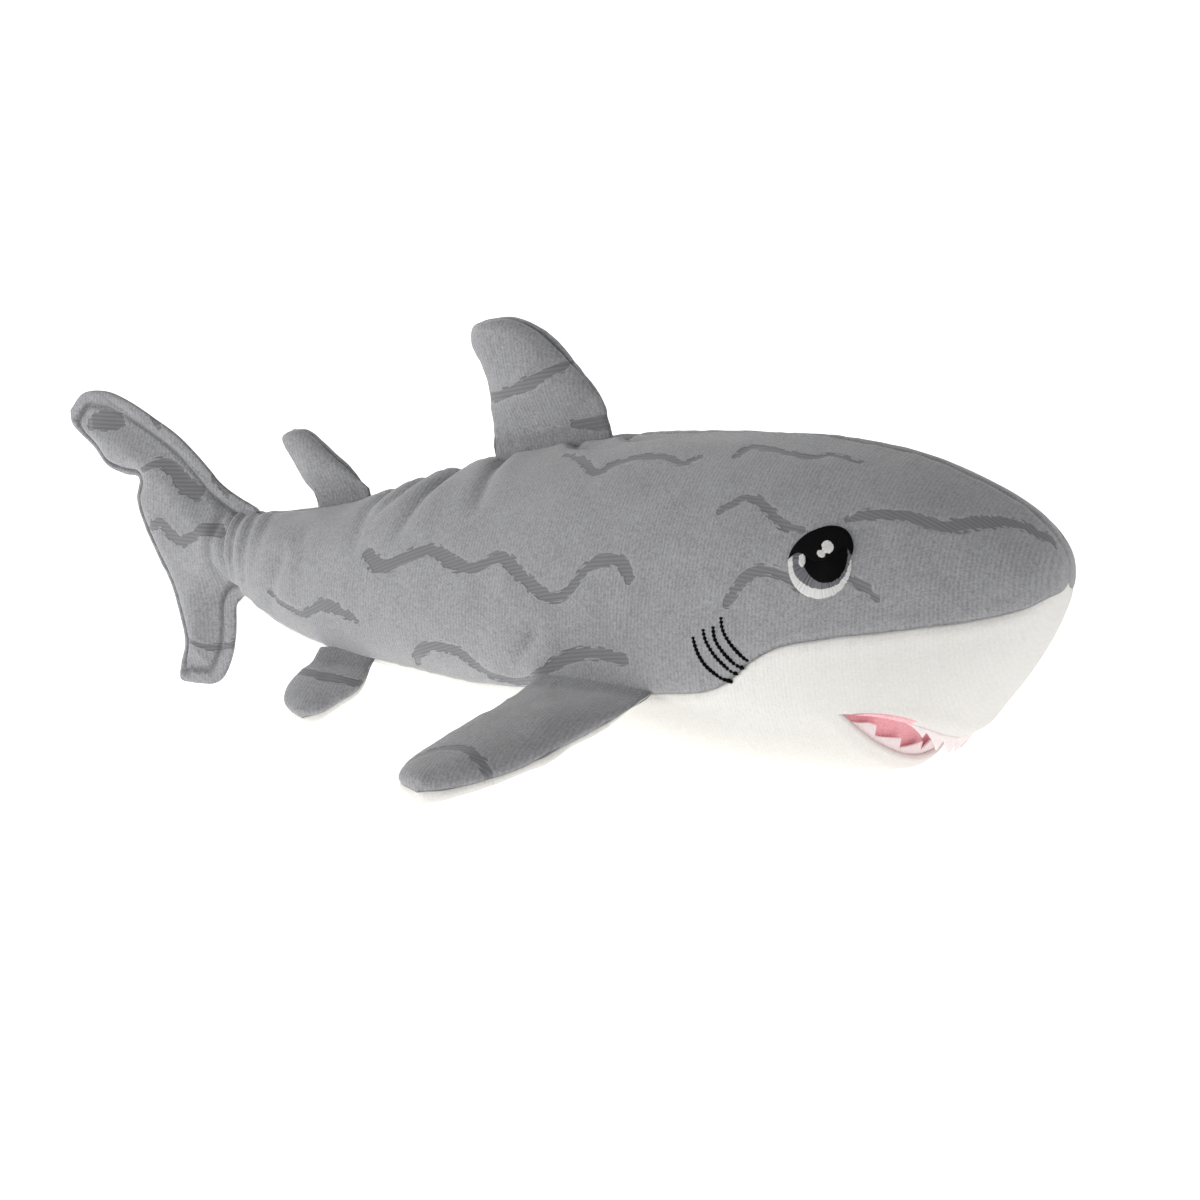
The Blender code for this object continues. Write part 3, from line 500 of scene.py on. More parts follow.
# %% Body panels
SIDE_ROWS, SIDE_COLUMNS = 440, 150
ALLOWANCE = np.array([0.0007, 0.0016, 0.0030])      # depths of the turned columns
TURNED = len(ALLOWANCE)
GATHER = 3.2      # mm, depth and length of the gathers at the tail
FOLDS = [      # x and drop from the dorsal seam in mm, depth, width
    ([(-11, 3), (-9, 15), (-4, 40)], 1.7, 3.2),
    ([(-30, 3), (-34, 18), (-39, 40)], 1.9, 3.4),
    ([(-46, 3), (-49, 14), (-56, 28)], 1.3, 2.8),
    ([(-60, 3), (-62, 16), (-60, 38)], 1.2, 3.2),
    ([(-130, 3), (-130, 20), (-129, 46)], 1.2, 1.9),
    ([(-124, 3), (-122, 20), (-123, 44)], 0.8, 2.2),
    ([(-116, 6), (-115, 16), (-117, 36)], 0.6, 3.0),
    ([(20, 2), (25, 9), (36, 13)], 1.2, 2.2),
    ([(42, 2), (47, 8), (58, 10)], 0.9, 2.0),
    ([(-101, 30), (-107, 42), (-113, 52)], 1.0, 4.0),
    ([(32, 96), (24, 104), (12, 112)], 1.0, 3.6),
    ([(-92, 22), (-88, 36), (-88, 48)], 0.7, 4.2),
]
MARKS = [      # x and drop in mm, then widths along the mark
    ([(-52, 44), (-45, 51), (-37, 53), (-25, 52), (-18, 54), (-7, 62), (4, 66), (13, 64),
      (19, 67), (29, 76), (40, 83), (47, 82), (54, 74), (62, 71), (69, 73), (73, 78)],
     (4.6, 6.0, 4.6, 4.8, 4.4, 4.2, 3.4, 4.6, 4.6)),
    ([(-108, 41), (-97, 49), (-87, 55), (-75, 55), (-65, 61), (-55, 69)],
     (1.4, 2.2, 3.4, 4.8, 4.2, 1.8)),
    ([(-28, 96), (-26, 92), (-18, 91), (-11, 93), (-3, 97), (4, 105), (11, 111), (26, 114),
      (35, 111), (44, 107), (58, 105), (71, 108)], (4.6, 4.8, 4.0, 4.0, 2.6, 4.4, 5.2, 4.8)),
    ([(24, 17), (35, 24), (45, 33), (50, 29), (58, 26), (69, 26), (79, 30), (84, 27)],
     (2.0, 3.8, 4.2, 3.8, 3.6, 3.2)),
    ([(99, 25), (102, 19), (112, 20), (126, 22), (134, 18), (145, 19)],
     (3.4, 3.8, 3.4, 3.0, 2.4)),
    ([(103, 53), (107, 49), (113, 46), (120, 49), (129, 55), (136, 55)],
     (3.2, 3.8, 3.6, 3.0)),
    ([(151, 46), (156, 42), (160, 40), (169, 36), (174, 35), (183, 32), (193, 23), (202, 14),
      (208, 10), (213, 5)], (3.2, 4.6, 4.4, 5.0, 4.0, 3.0)),
    ([(113, 86), (116, 80), (119, 76), (123, 73), (128, 72), (133, 73), (139, 76)],
     (3.0, 4.2, 3.6, 2.6)),
    ([(155, 66), (159, 67), (162, 67), (165, 69)], (3.0, 3.0, 2.4)),
]


def turned_edges(points, inwards):
    """Add columns on both sides: the seam allowance, turned in along inwards.

    The allowance narrows where a panel itself narrows to a point.
    """
    width = row_length(points)[:, -1:] - 0.002
    room = np.clip(width / 0.02, 0, 1)[..., None]
    depths = ALLOWANCE[None, :, None] * room
    left = points[:, :1] + inwards[:, :1] * depths[:, ::-1]
    right = points[:, -1:] + inwards[:, -1:] * depths
    return np.concatenate([left, points, right], axis=1)


def widened(values):
    """Repeat the edge values for the turned columns."""
    return np.concatenate([np.repeat(values[:, :1], TURNED, axis=1), values,
                           np.repeat(values[:, -1:], TURNED, axis=1)], axis=1)


def outwards(points, turn):
    """Normals facing out, eased towards straight ahead at the very tip of the nose."""
    out = normals(points) * turn
    tip = np.clip((points[..., :1] - NOSE_X + 0.0014) / 0.0012, 0, 1)
    return unit(out * (1 - tip) + np.array([1.0, 0, 0]) * tip)


def gathered(x):
    """How far, in mm, the cloth is drawn in where the tail fin is sewn on."""
    return GATHER * np.clip(1 - (x - 1000 * TAIL_SEAM_X) / GATHER, 0, 1) ** 2


def calmed(width, full_width, least, x):
    """Share of the relief: less where a panel is narrow, none at the tip of the nose."""
    return np.clip(width / full_width, least, 1) * np.clip((1000 * NOSE_X - x) / 8, 0, 1) ** 0.5


def rows_between(low, high, count):
    """Stations evenly spaced along the skin from low to high."""
    share = np.linspace(0, 1, count)[:, None]
    low, high = np.interp(low, TABLE_U, TABLE_LENGTH), np.interp(high, TABLE_U, TABLE_LENGTH)
    return np.interp(low + (high - low) * share, TABLE_LENGTH, TABLE_U)


def side_grid(side):
    """One grey side: nominal skin, moved along its normals by seams, folds and filling."""
    u = rows_between(np.array([[0.0]]), np.array([[float(LAST)]]), SIDE_ROWS)
    share = np.linspace(0, 1, SIDE_COLUMNS)[None, :]
    angle = math.pi / 2 + (seam_angle(u) - math.pi / 2) * share
    points = body_point(u, angle, side)
    out = outwards(points, side)
    x = points[..., 0] * 1000
    drop = row_length(points) * 1000
    rest = drop[:, -1:] - drop
    plane = np.stack([x, drop], axis=-1)
    taper = calmed(drop[:, -1:], 60, 0.12, x)
    seed = 3 if side == RIGHT else 4
    relief = seam_relief(drop, x, seed, 1.1, 1.25, 0.34)
    relief += seam_relief(rest, x, seed + 20, 1.0, 1.15, 0.26)
    relief *= taper
    relief += 0.45 * taper * value_noise(x / 34, drop / 30, seed + 40)
    relief += 0.16 * taper * value_noise(x / 9, drop / 8, seed + 41)
    creases = sum(fold(plane, line, depth, width) for line, depth, width in FOLDS)
    relief += 1.35 * creases
    # Painted shade: the colour darkens in the creases and towards both seams.
    shaded = np.minimum(np.minimum(drop, rest), 1.0 + 0.45 * np.minimum(creases, 0))
    mark = mark_distance(plane, MARKS)
    relief -= 0.25 * np.clip(0.5 - mark, 0, 1) + gathered(x)
    points = raised(points, out, relief)
    return {"points": turned_edges(points, -out), "cloth": widened(plane / 1000),
            "mark": widened(mark), "seam": widened(shaded), "flip": side == RIGHT}


sides = {}
for side, word in ((RIGHT, "right"), (LEFT, "left")):
    sides[side] = piece(f"side_skin_{word}", [side_grid(side)], GREY, (f"side_panel_{word}",))
    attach(sides[side], "body")

# %% [markdown]
# ## Belly and mouth
# The white underside is one panel with a slit for the mouth. At both lips the knit rolls
# inwards over the lining, and the pocket behind is pink. The panel is made as two grids
# that share their points beside the mouth, and each ends at its own lip line.

# %% Belly
MOUTH_CORNER_X = TAIL_SEAM_X + 0.8088 * BODY_LENGTH
MOUTH_SHARE = 0.68
UPPER_REACH = 0.0310
LOWER_REACH = 0.0148
BELLY_COLUMNS = 173
BEHIND_ROWS, AHEAD_ROWS = 360, 110
LIP_RADIUS = 0.0013
LIP_ROWS = 8
BELLY_END = TABLE_U[np.argmax(TABLE_SEAM < math.radians(-88))]      # its point, under the nose


def lip_x(share, upper):
    """Where a lip crosses the belly: both meet at the corners, the upper reaches ahead."""
    inside = np.clip(np.abs(share) / MOUTH_SHARE, 0, 1)
    if upper:
        return MOUTH_CORNER_X + UPPER_REACH * (1 - inside ** 2.6) ** 0.435
    return MOUTH_CORNER_X + LOWER_REACH * (1 - inside ** 2)


def belly_point(u, share):
    """Skin point of the underside: share 0 is the middle, 1 the left and -1 the right seam."""
    angle = -math.pi / 2 + (math.pi / 2 + seam_angle(u)) * np.abs(share)
    return body_point(u, angle, np.where(share > 0, LEFT, RIGHT))


def with_lip_rows(values, row):
    """The values with their mouth row repeated for the rolled lip; row is 0 or -1."""
    lip = np.repeat(values[row][None], LIP_ROWS, axis=0)
    return np.concatenate((values, lip) if row else (lip, values))


def belly_part(ahead):
    """One of the belly's two grids, with its rolled lip."""
    share = np.linspace(-1, 1, BELLY_COLUMNS)[None, :]
    lip = station_at(lip_x(share, ahead))
    if ahead:
        u = rows_between(lip, np.full_like(lip, BELLY_END), AHEAD_ROWS)
    else:
        u = rows_between(np.zeros_like(lip), lip, BEHIND_ROWS)
    share = np.broadcast_to(share, u.shape)
    points = belly_point(u, share)
    out = outwards(points, -1)
    x = points[..., 0] * 1000
    place = row_length(points) * 1000
    place = place - place[:, -1:] / 2
    edge = np.abs(place[:, -1:]) - np.abs(place)
    taper = calmed(place[:, -1:], 40, 0.1, x)
    relief = taper * seam_relief(edge, x, 31, 1.0, 1.15, 0.26)
    relief += 0.4 * taper * value_noise(x / 30 + 7, place / 28 + 9, 32)
    lip_edge = np.abs(x - 1000 * lip_x(share, ahead))
    jaw = np.clip(1.06 - np.abs(share) / MOUTH_SHARE, 0, 1) ** 0.5
    relief += jaw * (0.9 * np.exp(-((lip_edge - 4.5) / 3.5) ** 2)
                     - 0.3 * np.exp(-(lip_edge / 2) ** 2))
    points = raised(points, out, relief - gathered(x))
    cloth = np.stack([x, place], axis=-1) / 1000
    # The lip: a half circle from the skin's edge to the lining.
    row, inner = (0, 1) if ahead else (-1, -2)
    way = unit(points[row] - points[inner])
    gap = lip_x(share[0], True) - lip_x(share[0], False)
    radius = np.minimum(LIP_RADIUS, 0.22 * gap)[None, :, None]
    turn = np.linspace(0, math.pi, LIP_ROWS + 1)[1:, None, None]
    roll = points[row] + way * radius * np.sin(turn) - out[row] * radius * (1 - np.cos(turn))
    roll = roll[::-1] if ahead else roll
    points = np.concatenate((roll, points) if ahead else (points, roll))
    inwards, cloth, edge = (with_lip_rows(values, row) for values in (-out, cloth, edge))
    # The distance to the seams darkens the colour along them: painted shade.
    return {"points": turned_edges(points, inwards), "cloth": widened(cloth),
            "seam": widened(edge), "flip": True}


front_part, rear_part = belly_part(True), belly_part(False)
belly = piece("belly_skin", [rear_part, front_part], WHITE, ("belly_panel", "body_stuffing"))
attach(belly, "body")

# %% [markdown]
# The pocket hangs between the rolled edges of the two lips, deepest in the middle. The
# felt teeth are two zigzag strips caught in the lip seams: the upper ones hang, the lower
# ones stand, and each is a flat strip with a little thickness.

# %% Mouth pocket and teeth
POCKET_ROWS = 40
POCKET_DEPTH = 0.0085
POCKET_WAY = np.array([-0.45, 0, 0.89])      # the pocket runs up and back from the lips
POCKET_RIPPLE = 0.0005
LINING_ROWS = 13
LINING_LIFT = 0.00085      # how far the lining stands off the lip near the corners
LINING_SINK = 0.0005
mouth_share = np.linspace(-1, 1, BELLY_COLUMNS)
inside = np.abs(mouth_share) < MOUTH_SHARE * 0.999
front_rows = front_part["points"][:, TURNED:-TURNED]
rear_rows = rear_part["points"][:, TURNED:-TURNED]
upper_edge, upper_root = front_rows[0, inside], front_rows[5, inside]
lower_edge = rear_rows[-1, inside]


def lip_lining():
    """The lining where it is turned out over the upper lip, beside the mouth corners.

    A copy of the lip's own rows, lifted off it near the corners and sunk elsewhere.
    """
    strip = front_rows[:LINING_ROWS]
    near = np.clip((np.abs(mouth_share) / MOUTH_SHARE - 0.64) / 0.20, 0, 1)
    lift = LINING_LIFT * near - LINING_SINK
    lift = lift + 0.00012 * value_noise(mouth_share * 60, 0 * mouth_share, 55)
    lift = np.repeat(lift[None], LINING_ROWS, axis=0)
    lift[0], lift[-1] = 0.0, -LINING_SINK
    strip = strip - normals(strip) * lift[..., None]
    return strip[:, inside][::-1]


def pocket_grid():
    """Lining from the upper lip, round the back of the mouth, to the lower lip."""
    v = np.linspace(0, 1, POCKET_ROWS)[:, None, None]
    gap = np.linalg.norm(upper_edge - lower_edge, axis=-1)
    depth = POCKET_DEPTH * np.clip(gap / 0.016, 0, 1) ** 0.7
    bulge = np.sin(math.pi * v[..., 0])
    points = upper_edge + (lower_edge - upper_edge) * v
    points = points + POCKET_WAY * (depth * bulge ** 0.55)[..., None]
    points[..., 1] *= 1 - 0.10 * bulge
    ripple = value_noise(points[..., 1] * 1000 / 5, v[..., 0] * 5 + 0 * points[..., 0], 51)
    points = points + POCKET_WAY * (POCKET_RIPPLE * ripple * bulge)[..., None]
    points = np.concatenate([lip_lining()[:-1], points])
    cloth = np.stack([points[..., 1], points[..., 0]], axis=-1)
    return {"points": points, "cloth": cloth, "flip": False}


pocket = piece("mouth_pocket", [pocket_grid()], PINK, ("mouth_lining",))
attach(pocket, "body")

TEETH = 7
FELT_THICKNESS = 0.0009


def resampled(curve, count, low, high):
    """Points evenly spaced along part of a curve."""
    length = path_length(curve)
    at = np.linspace(low, high, count) * length[-1]
    return np.stack([np.interp(at, length, curve[:, k]) for k in range(3)], axis=-1)


def teeth_grid(edge, upper):
    """A felt strip wrapped round its own thickness, its free edge cut into teeth.

    Each tooth is a slanted saw tooth that points to the middle of the mouth.
    """
    count = TEETH * 26 + 1
    ends = (0.17, 0.83) if upper else (0.04, 0.96)
    root = resampled(edge, count, *ends)
    t = np.linspace(0, 1, count)
    mirrored = np.minimum(t, 1 - t) * 2
    saw = (t * TEETH) % 1.0
    saw = np.where(t < 0.5, saw, 1 - saw)
    slanted = np.abs(t - 0.5) > 0.5 / TEETH      # all teeth but the middle one
    peak = 0.5 + 0.34 * slanted
    tooth = np.where(saw < peak, saw / peak, (1 - saw) / (1 - peak))
    band, high = (0.0028, 0.0058) if upper else (0.0020, 0.0040)
    height = (band + high * tooth) * np.clip(mirrored / (0.62 if upper else 0.16), 0, 1) ** 0.8
    across = unit(lower_edge.mean(axis=0) - upper_edge.mean(axis=0)) * (1 if upper else -1)
    tip = unit(across * (0.75 if upper else 0.5) + np.array([0, 0, -0.66 if upper else 0.85]))
    along = unit(np.gradient(root, axis=0))
    face = unit(np.cross(along, tip))
    lean = np.where(t < 0.5, 1, -1) * slanted * 0.30 * high * tooth
    lean = along * lean[:, None]
    rows = [(0.0, 0.5), (0.2, 0.5), (0.45, 0.5), (0.7, 0.5), (0.93, 0.46), (1.0, 0.25)]
    rows = rows + [(share, -half) for share, half in reversed(rows)] + [rows[0]]
    ring = [root + tip * (share * height)[:, None] + lean * share
            + face * (half * FELT_THICKNESS) for share, half in rows]
    points = np.stack(ring)
    cloth = np.stack([points[..., 1], points[..., 2]], axis=-1)
    return {"points": points, "cloth": cloth, "flip": upper}


for word, edge, upper in (("upper", upper_root, True), ("lower", lower_edge, False)):
    made = piece(f"teeth_{word}", [teeth_grid(edge, upper)], FELT, (f"{word}_teeth",))
    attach(made, "body")

# %% [markdown]
# ## Eyes and gills
# Each eye is embroidered in layers: a white crescent, a grey ring, the black pupil with its
# heavy lid, and two white glints on top. The gills are four short lines of black stitches.
# All of them are laid on the side by their distance along the body and down from the back.

# %% Eyes and gills
RIM_SINK = 0.9      # mm, how far the rim of an embroidered patch goes into the skin
RAGGED = 0.17      # mm, unevenness of that rim
STITCH = 1.5      # mm, one stitch of a gill
GILL_HALF_WIDTH = 0.95      # mm
DROP_U = np.linspace(0, LAST - 0.02, 600)
DROP_FAN = np.linspace(math.pi / 2, -math.pi / 2, 241)
fan_points = body_point(DROP_U[:, None], DROP_FAN[None, :], LEFT)
fan_length = row_length(fan_points)


def on_side(x_mm, drop_mm, side, lift_mm):
    """Skin points at x, drop down the side, lifted along the normal."""
    u = station_at(np.asarray(x_mm) / 1000)
    row = np.clip(u / DROP_U[1], 0, len(DROP_U) - 1.001)
    i = row.astype(int)
    t = (row - i)[..., None]
    reach = fan_length[i] * (1 - t) + fan_length[i + 1] * t
    flat_reach = reach.reshape(-1, len(DROP_FAN))
    flat_drop = np.ravel(np.asarray(drop_mm) / 1000)
    angle = np.array([np.interp(d, r, DROP_FAN) for d, r in zip(flat_drop, flat_reach)])
    angle = angle.reshape(u.shape)
    e = 0.004      # a small step in both directions, for the slope of the skin
    out = unit(np.cross(body_point(u, angle + e, side) - body_point(u, angle - e, side),
                        body_point(u + e, angle, side) - body_point(u - e, angle, side))) * side
    return body_point(u, angle, side) + out * (np.asarray(lift_mm) / 1000)[..., None]


def stitched(flat, lift, along, across, side, flipped_side):
    """A grid of stitches on the skin; along and across place its threads, in mm."""
    cloth = np.stack([along + 0 * lift, across + 0 * lift], axis=-1) / 1000
    return {"points": on_side(flat[..., 0], flat[..., 1], side, lift), "cloth": cloth,
            "flip": side == flipped_side}


def patch_grid(outline, centre, side, base, height, turns=190, rings=18):
    """A filled patch: rings from the centre out, highest inside, rolled down at the rim.

    The rim is a little ragged, since each stitch ends where its needle hole is.
    """
    rim = smooth_line(np.vstack([outline, outline[:1]]), turns + 1)
    ragged = np.random.default_rng(turns + int(10 * centre[0])).uniform(-1, 1, turns + 1)
    rim = rim + unit(rim - np.array(centre)) * (RAGGED * ragged)[:, None]
    rim[-1] = rim[0]
    r = np.append(np.sin(np.linspace(0, 1, rings) * math.pi / 2), 1.0)[:, None]
    flat = np.array(centre) + (rim[None] - np.array(centre)) * r[..., None]
    lift = base + height * np.sqrt(np.clip(1 - r ** 6, 0, 1)) + 0 * flat[..., 0]
    lift[-1] = base - RIM_SINK
    return stitched(flat, lift, path_length(rim), 8 * r, side, LEFT)


def band_grid(outer, inner, side, base, height, count=110, rows=14):
    """A crescent between two curves that meet at its tips."""
    a, b = smooth_line(outer, count), smooth_line(inner, count)
    t = np.linspace(0, 1, rows)[:, None]
    flat = a[None] + (b - a)[None] * t[..., None]
    width = np.linalg.norm(b - a, axis=-1)[None, :]
    crown = np.sqrt(np.clip(1 - (2 * t - 1) ** 6, 0, 1)) * np.clip(width / 1.2, 0, 1)
    lift = base + height * crown
    lift[0], lift[-1] = base - RIM_SINK, base - RIM_SINK
    return stitched(flat, lift, path_length(a), 5 * t, side, LEFT)


def ellipse(centre, long, short, lean=0.0, count=14):
    """An oval outline, its long way up, leaning by an angle."""
    turn = np.linspace(0, 2 * math.pi, count, endpoint=False)
    a, b = short * np.cos(turn), -long * np.sin(turn)
    return np.stack([centre[0] + a * math.cos(lean) - b * math.sin(lean),
                     centre[1] + a * math.sin(lean) + b * math.cos(lean)], axis=-1)


def spot(centre, long, short, side, base, height, lean=0.0, turns=48, rings=10):
    """A filled oval patch."""
    return patch_grid(ellipse(centre, long, short, lean), centre, side, base, height, turns,
                      rings)


# Outlines by distance along the body and down from the back, in mm.
EYE_CENTRE = (144.5, 63.0)
WHITE_OUTLINE = [(133.2, 68.0), (135.4, 73.5), (139.4, 76.9), (145.2, 77.2), (149.8, 74.8),
                 (153.2, 71.2), (155.2, 66.2), (155.3, 60.5), (151.5, 56), (144.5, 55),
                 (137.5, 58.5), (134.0, 63.0)]
IRIS_OUTLINE = [(134.7, 67.0), (136.6, 71.6), (141.0, 74.1), (146.2, 73.8), (150.9, 71.0),
                (153.9, 66.2), (154.7, 59.5), (152.5, 54.5), (147, 52.5), (141, 54.5),
                (137, 58.5), (134.9, 62.6)]
LID_OUTER = [(133.3, 66.6), (134.1, 62.6), (136.2, 58.2), (139.6, 54.0), (144.6, 50.4),
             (149.2, 49.5), (152.8, 51.2), (154.9, 54.8), (155.0, 58.2)]
LID_INNER = [(133.3, 66.6), (134.8, 65.0), (136.6, 63.9), (138.8, 64.6), (143.0, 66.0),
             (148.0, 63.0), (151.4, 57.6), (153.2, 56.9), (155.0, 58.2)]


def build_eye(side, word):
    """The eye's five embroidered layers, each a little higher than the one below it."""
    layers = {
        "white": (WHITE_THREAD, patch_grid(WHITE_OUTLINE, EYE_CENTRE, side, 0.15, 0.45)),
        "iris": (IRIS_THREAD, patch_grid(IRIS_OUTLINE, EYE_CENTRE, side, 0.40, 0.40)),
        "pupil": (BLACK_THREAD, spot((145.8, 61.6), 9.9, 8.1, side, 0.62, 0.42, 0.14, 190, 18),
                  band_grid(LID_OUTER, LID_INNER, side, 0.60, 0.62)),
        "glint_large": (WHITE_THREAD, spot((146.4, 58.6), 2.5, 2.35, side, 0.95, 0.40),
                        spot((144.6, 61.6), 1.45, 1.75, side, 0.95, 0.34)),
        "glint_small": (WHITE_THREAD, spot((138.4, 65.9), 2.3, 1.25, side, 0.95, 0.36, -0.12)),
    }
    for part, (thread, *grids) in layers.items():
        made = piece(f"eye_{part}_embroidery_{word}", grids, thread, (f"eye_{part}_{word}",))
        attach(made, "body")


GILLS = [
    [(110.8, 90.6), (111.8, 95.6), (114.5, 99.9), (117.9, 103.4), (121.3, 105.6)],
    [(107.9, 94.2), (108.8, 99.1), (111.8, 103.5), (115.5, 106.9), (119.6, 108.8)],
    [(104.0, 95.4), (105.3, 100.1), (108.7, 105.2), (112.7, 108.9), (117.0, 111.4)],
    [(100.1, 98.4), (101.7, 104.0), (105.0, 109.3), (110.1, 113.0), (114.8, 114.6)],
]


def gill_grid(line, side):
    """A line of stitches: a half round band that swells and narrows with each stitch."""
    middle = smooth_line(line, 150)
    length = path_length(middle)
    along = unit(np.gradient(middle, axis=0))
    across = np.stack([-along[:, 1], along[:, 0]], axis=-1)
    bead = 0.58 + 0.42 * np.abs(np.sin(math.pi * length / STITCH))
    ends = np.sqrt(np.clip(np.minimum(length, length[-1] - length) / 0.8, 0, 1))
    half = GILL_HALF_WIDTH * bead * ends
    turn = np.linspace(0, math.pi, 13)[:, None]
    flat = middle[None] + across[None] * (np.cos(turn) * half)[..., None]
    lift = -0.25 + 1.05 * np.sin(turn) * bead * ends
    return stitched(flat, lift, length, turn, side, RIGHT)


for side, word in ((RIGHT, "right"), (LEFT, "left")):
    build_eye(side, word)
    for number, line in enumerate(GILLS, 1):
        made = piece(f"gill_{word}_{number}", [gill_grid(line, side)], BLACK_THREAD,
                     (f"gill_stitch_{word}_{number}",))
        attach(made, "body")

# %% [markdown]
# ## Fins
# Each fin is two flat panels sewn face to face, turned and lightly filled: full in the
# middle, thin at the edge seam and pinched where it is sewn to the body. The outlines are
# the panels' cut, given as shares of the chord and of the span.

# %% Fins
FIN_OUTLINES = {
    "dorsal": ([(0.50, 0), (0.47, 0.22), (0.34, 0.44), (0.21, 0.66), (0.07, 0.83),
                (-0.12, 0.96), (-0.32, 1.0)],
               [(-0.50, 0), (-0.45, 0.22), (-0.42, 0.44), (-0.44, 0.64), (-0.49, 0.82),
                (-0.45, 0.96), (-0.32, 1.0)]),
    "second_dorsal": ([(0.50, 0), (0.27, 0.27), (-0.01, 0.56), (-0.24, 0.80), (-0.40, 0.93),
                       (-0.60, 1.0)],
                      [(-0.50, 0), (-0.58, 0.26), (-0.68, 0.54), (-0.78, 0.78), (-0.79, 0.92),
                       (-0.60, 1.0)]),
    "pectoral": ([(0.50, 0), (0.40, 0.25), (0.26, 0.50), (0.12, 0.71), (-0.06, 0.86),
                  (-0.26, 0.965), (-0.44, 1.0)],
                 [(-0.50, 0), (-0.54, 0.23), (-0.57, 0.43), (-0.65, 0.61), (-0.72, 0.77),
                  (-0.66, 0.93), (-0.44, 1.0)]),
    "pelvic": ([(0.50, 0), (0.55, 0.24), (0.50, 0.47), (0.30, 0.71), (0.07, 0.90),
                (-0.15, 1.0)],
               [(-0.50, 0), (-0.61, 0.26), (-0.66, 0.52), (-0.58, 0.77), (-0.38, 0.94),
                (-0.15, 1.0)]),
}
FIN_PLACES = {      # hinge centre, ahead, outwards, chord, span beyond the hinge, thickness
    "dorsal": ((0.00821, 0, 0.11288), (0.97551, 0, 0.21995), (0, 0, 1), 0.053, 0.0475, 0.018),
    "second_dorsal": ((-0.08561, 0, 0.08394), (0.96788, 0, 0.25141), (0, 0, 1), 0.026,
                      0.0290, 0.011),
    "pectoral": ((0.05700, 0.06001, 0.02941), (1, 0, 0), (-0.07, 0.960, -0.275), 0.050,
                 0.0845, 0.015),
    "pelvic": ((-0.06900, 0.02797, 0.02243), (1, 0, 0), (-0.10, 0.75, -0.62), 0.027,
               0.0280, 0.010),
}
FIN_MARKS = {      # ahead and outwards in mm from the hinge, widths
    "dorsal": [([(-28, 17.5), (-20, 18), (-12, 18.5), (-4, 20), (4, 22), (13, 24.5)],
                (4.0, 3.8, 4.4, 5.0, 3.8)),
               ([(12, 2.5), (20, 1.5), (28, 0.5)], (3.5, 5.0, 6.0))],
    "pectoral": [([(-33, 72), (-27, 66), (-20, 63), (-12, 64), (-4, 68), (3, 73)],
                  (3.4, 4.0, 4.4, 4.2, 3.4))],
    "pelvic": [([(-17, 8), (-8, 8.8), (1, 10.5), (9, 10), (18, 9)], (3.4, 4.2, 4.4, 3.4))],
}
FIN_ROWS, FIN_COLUMNS = 150, 96
MARK_DEPTH = 0.2      # mm, how much lower the knit lies without its pile


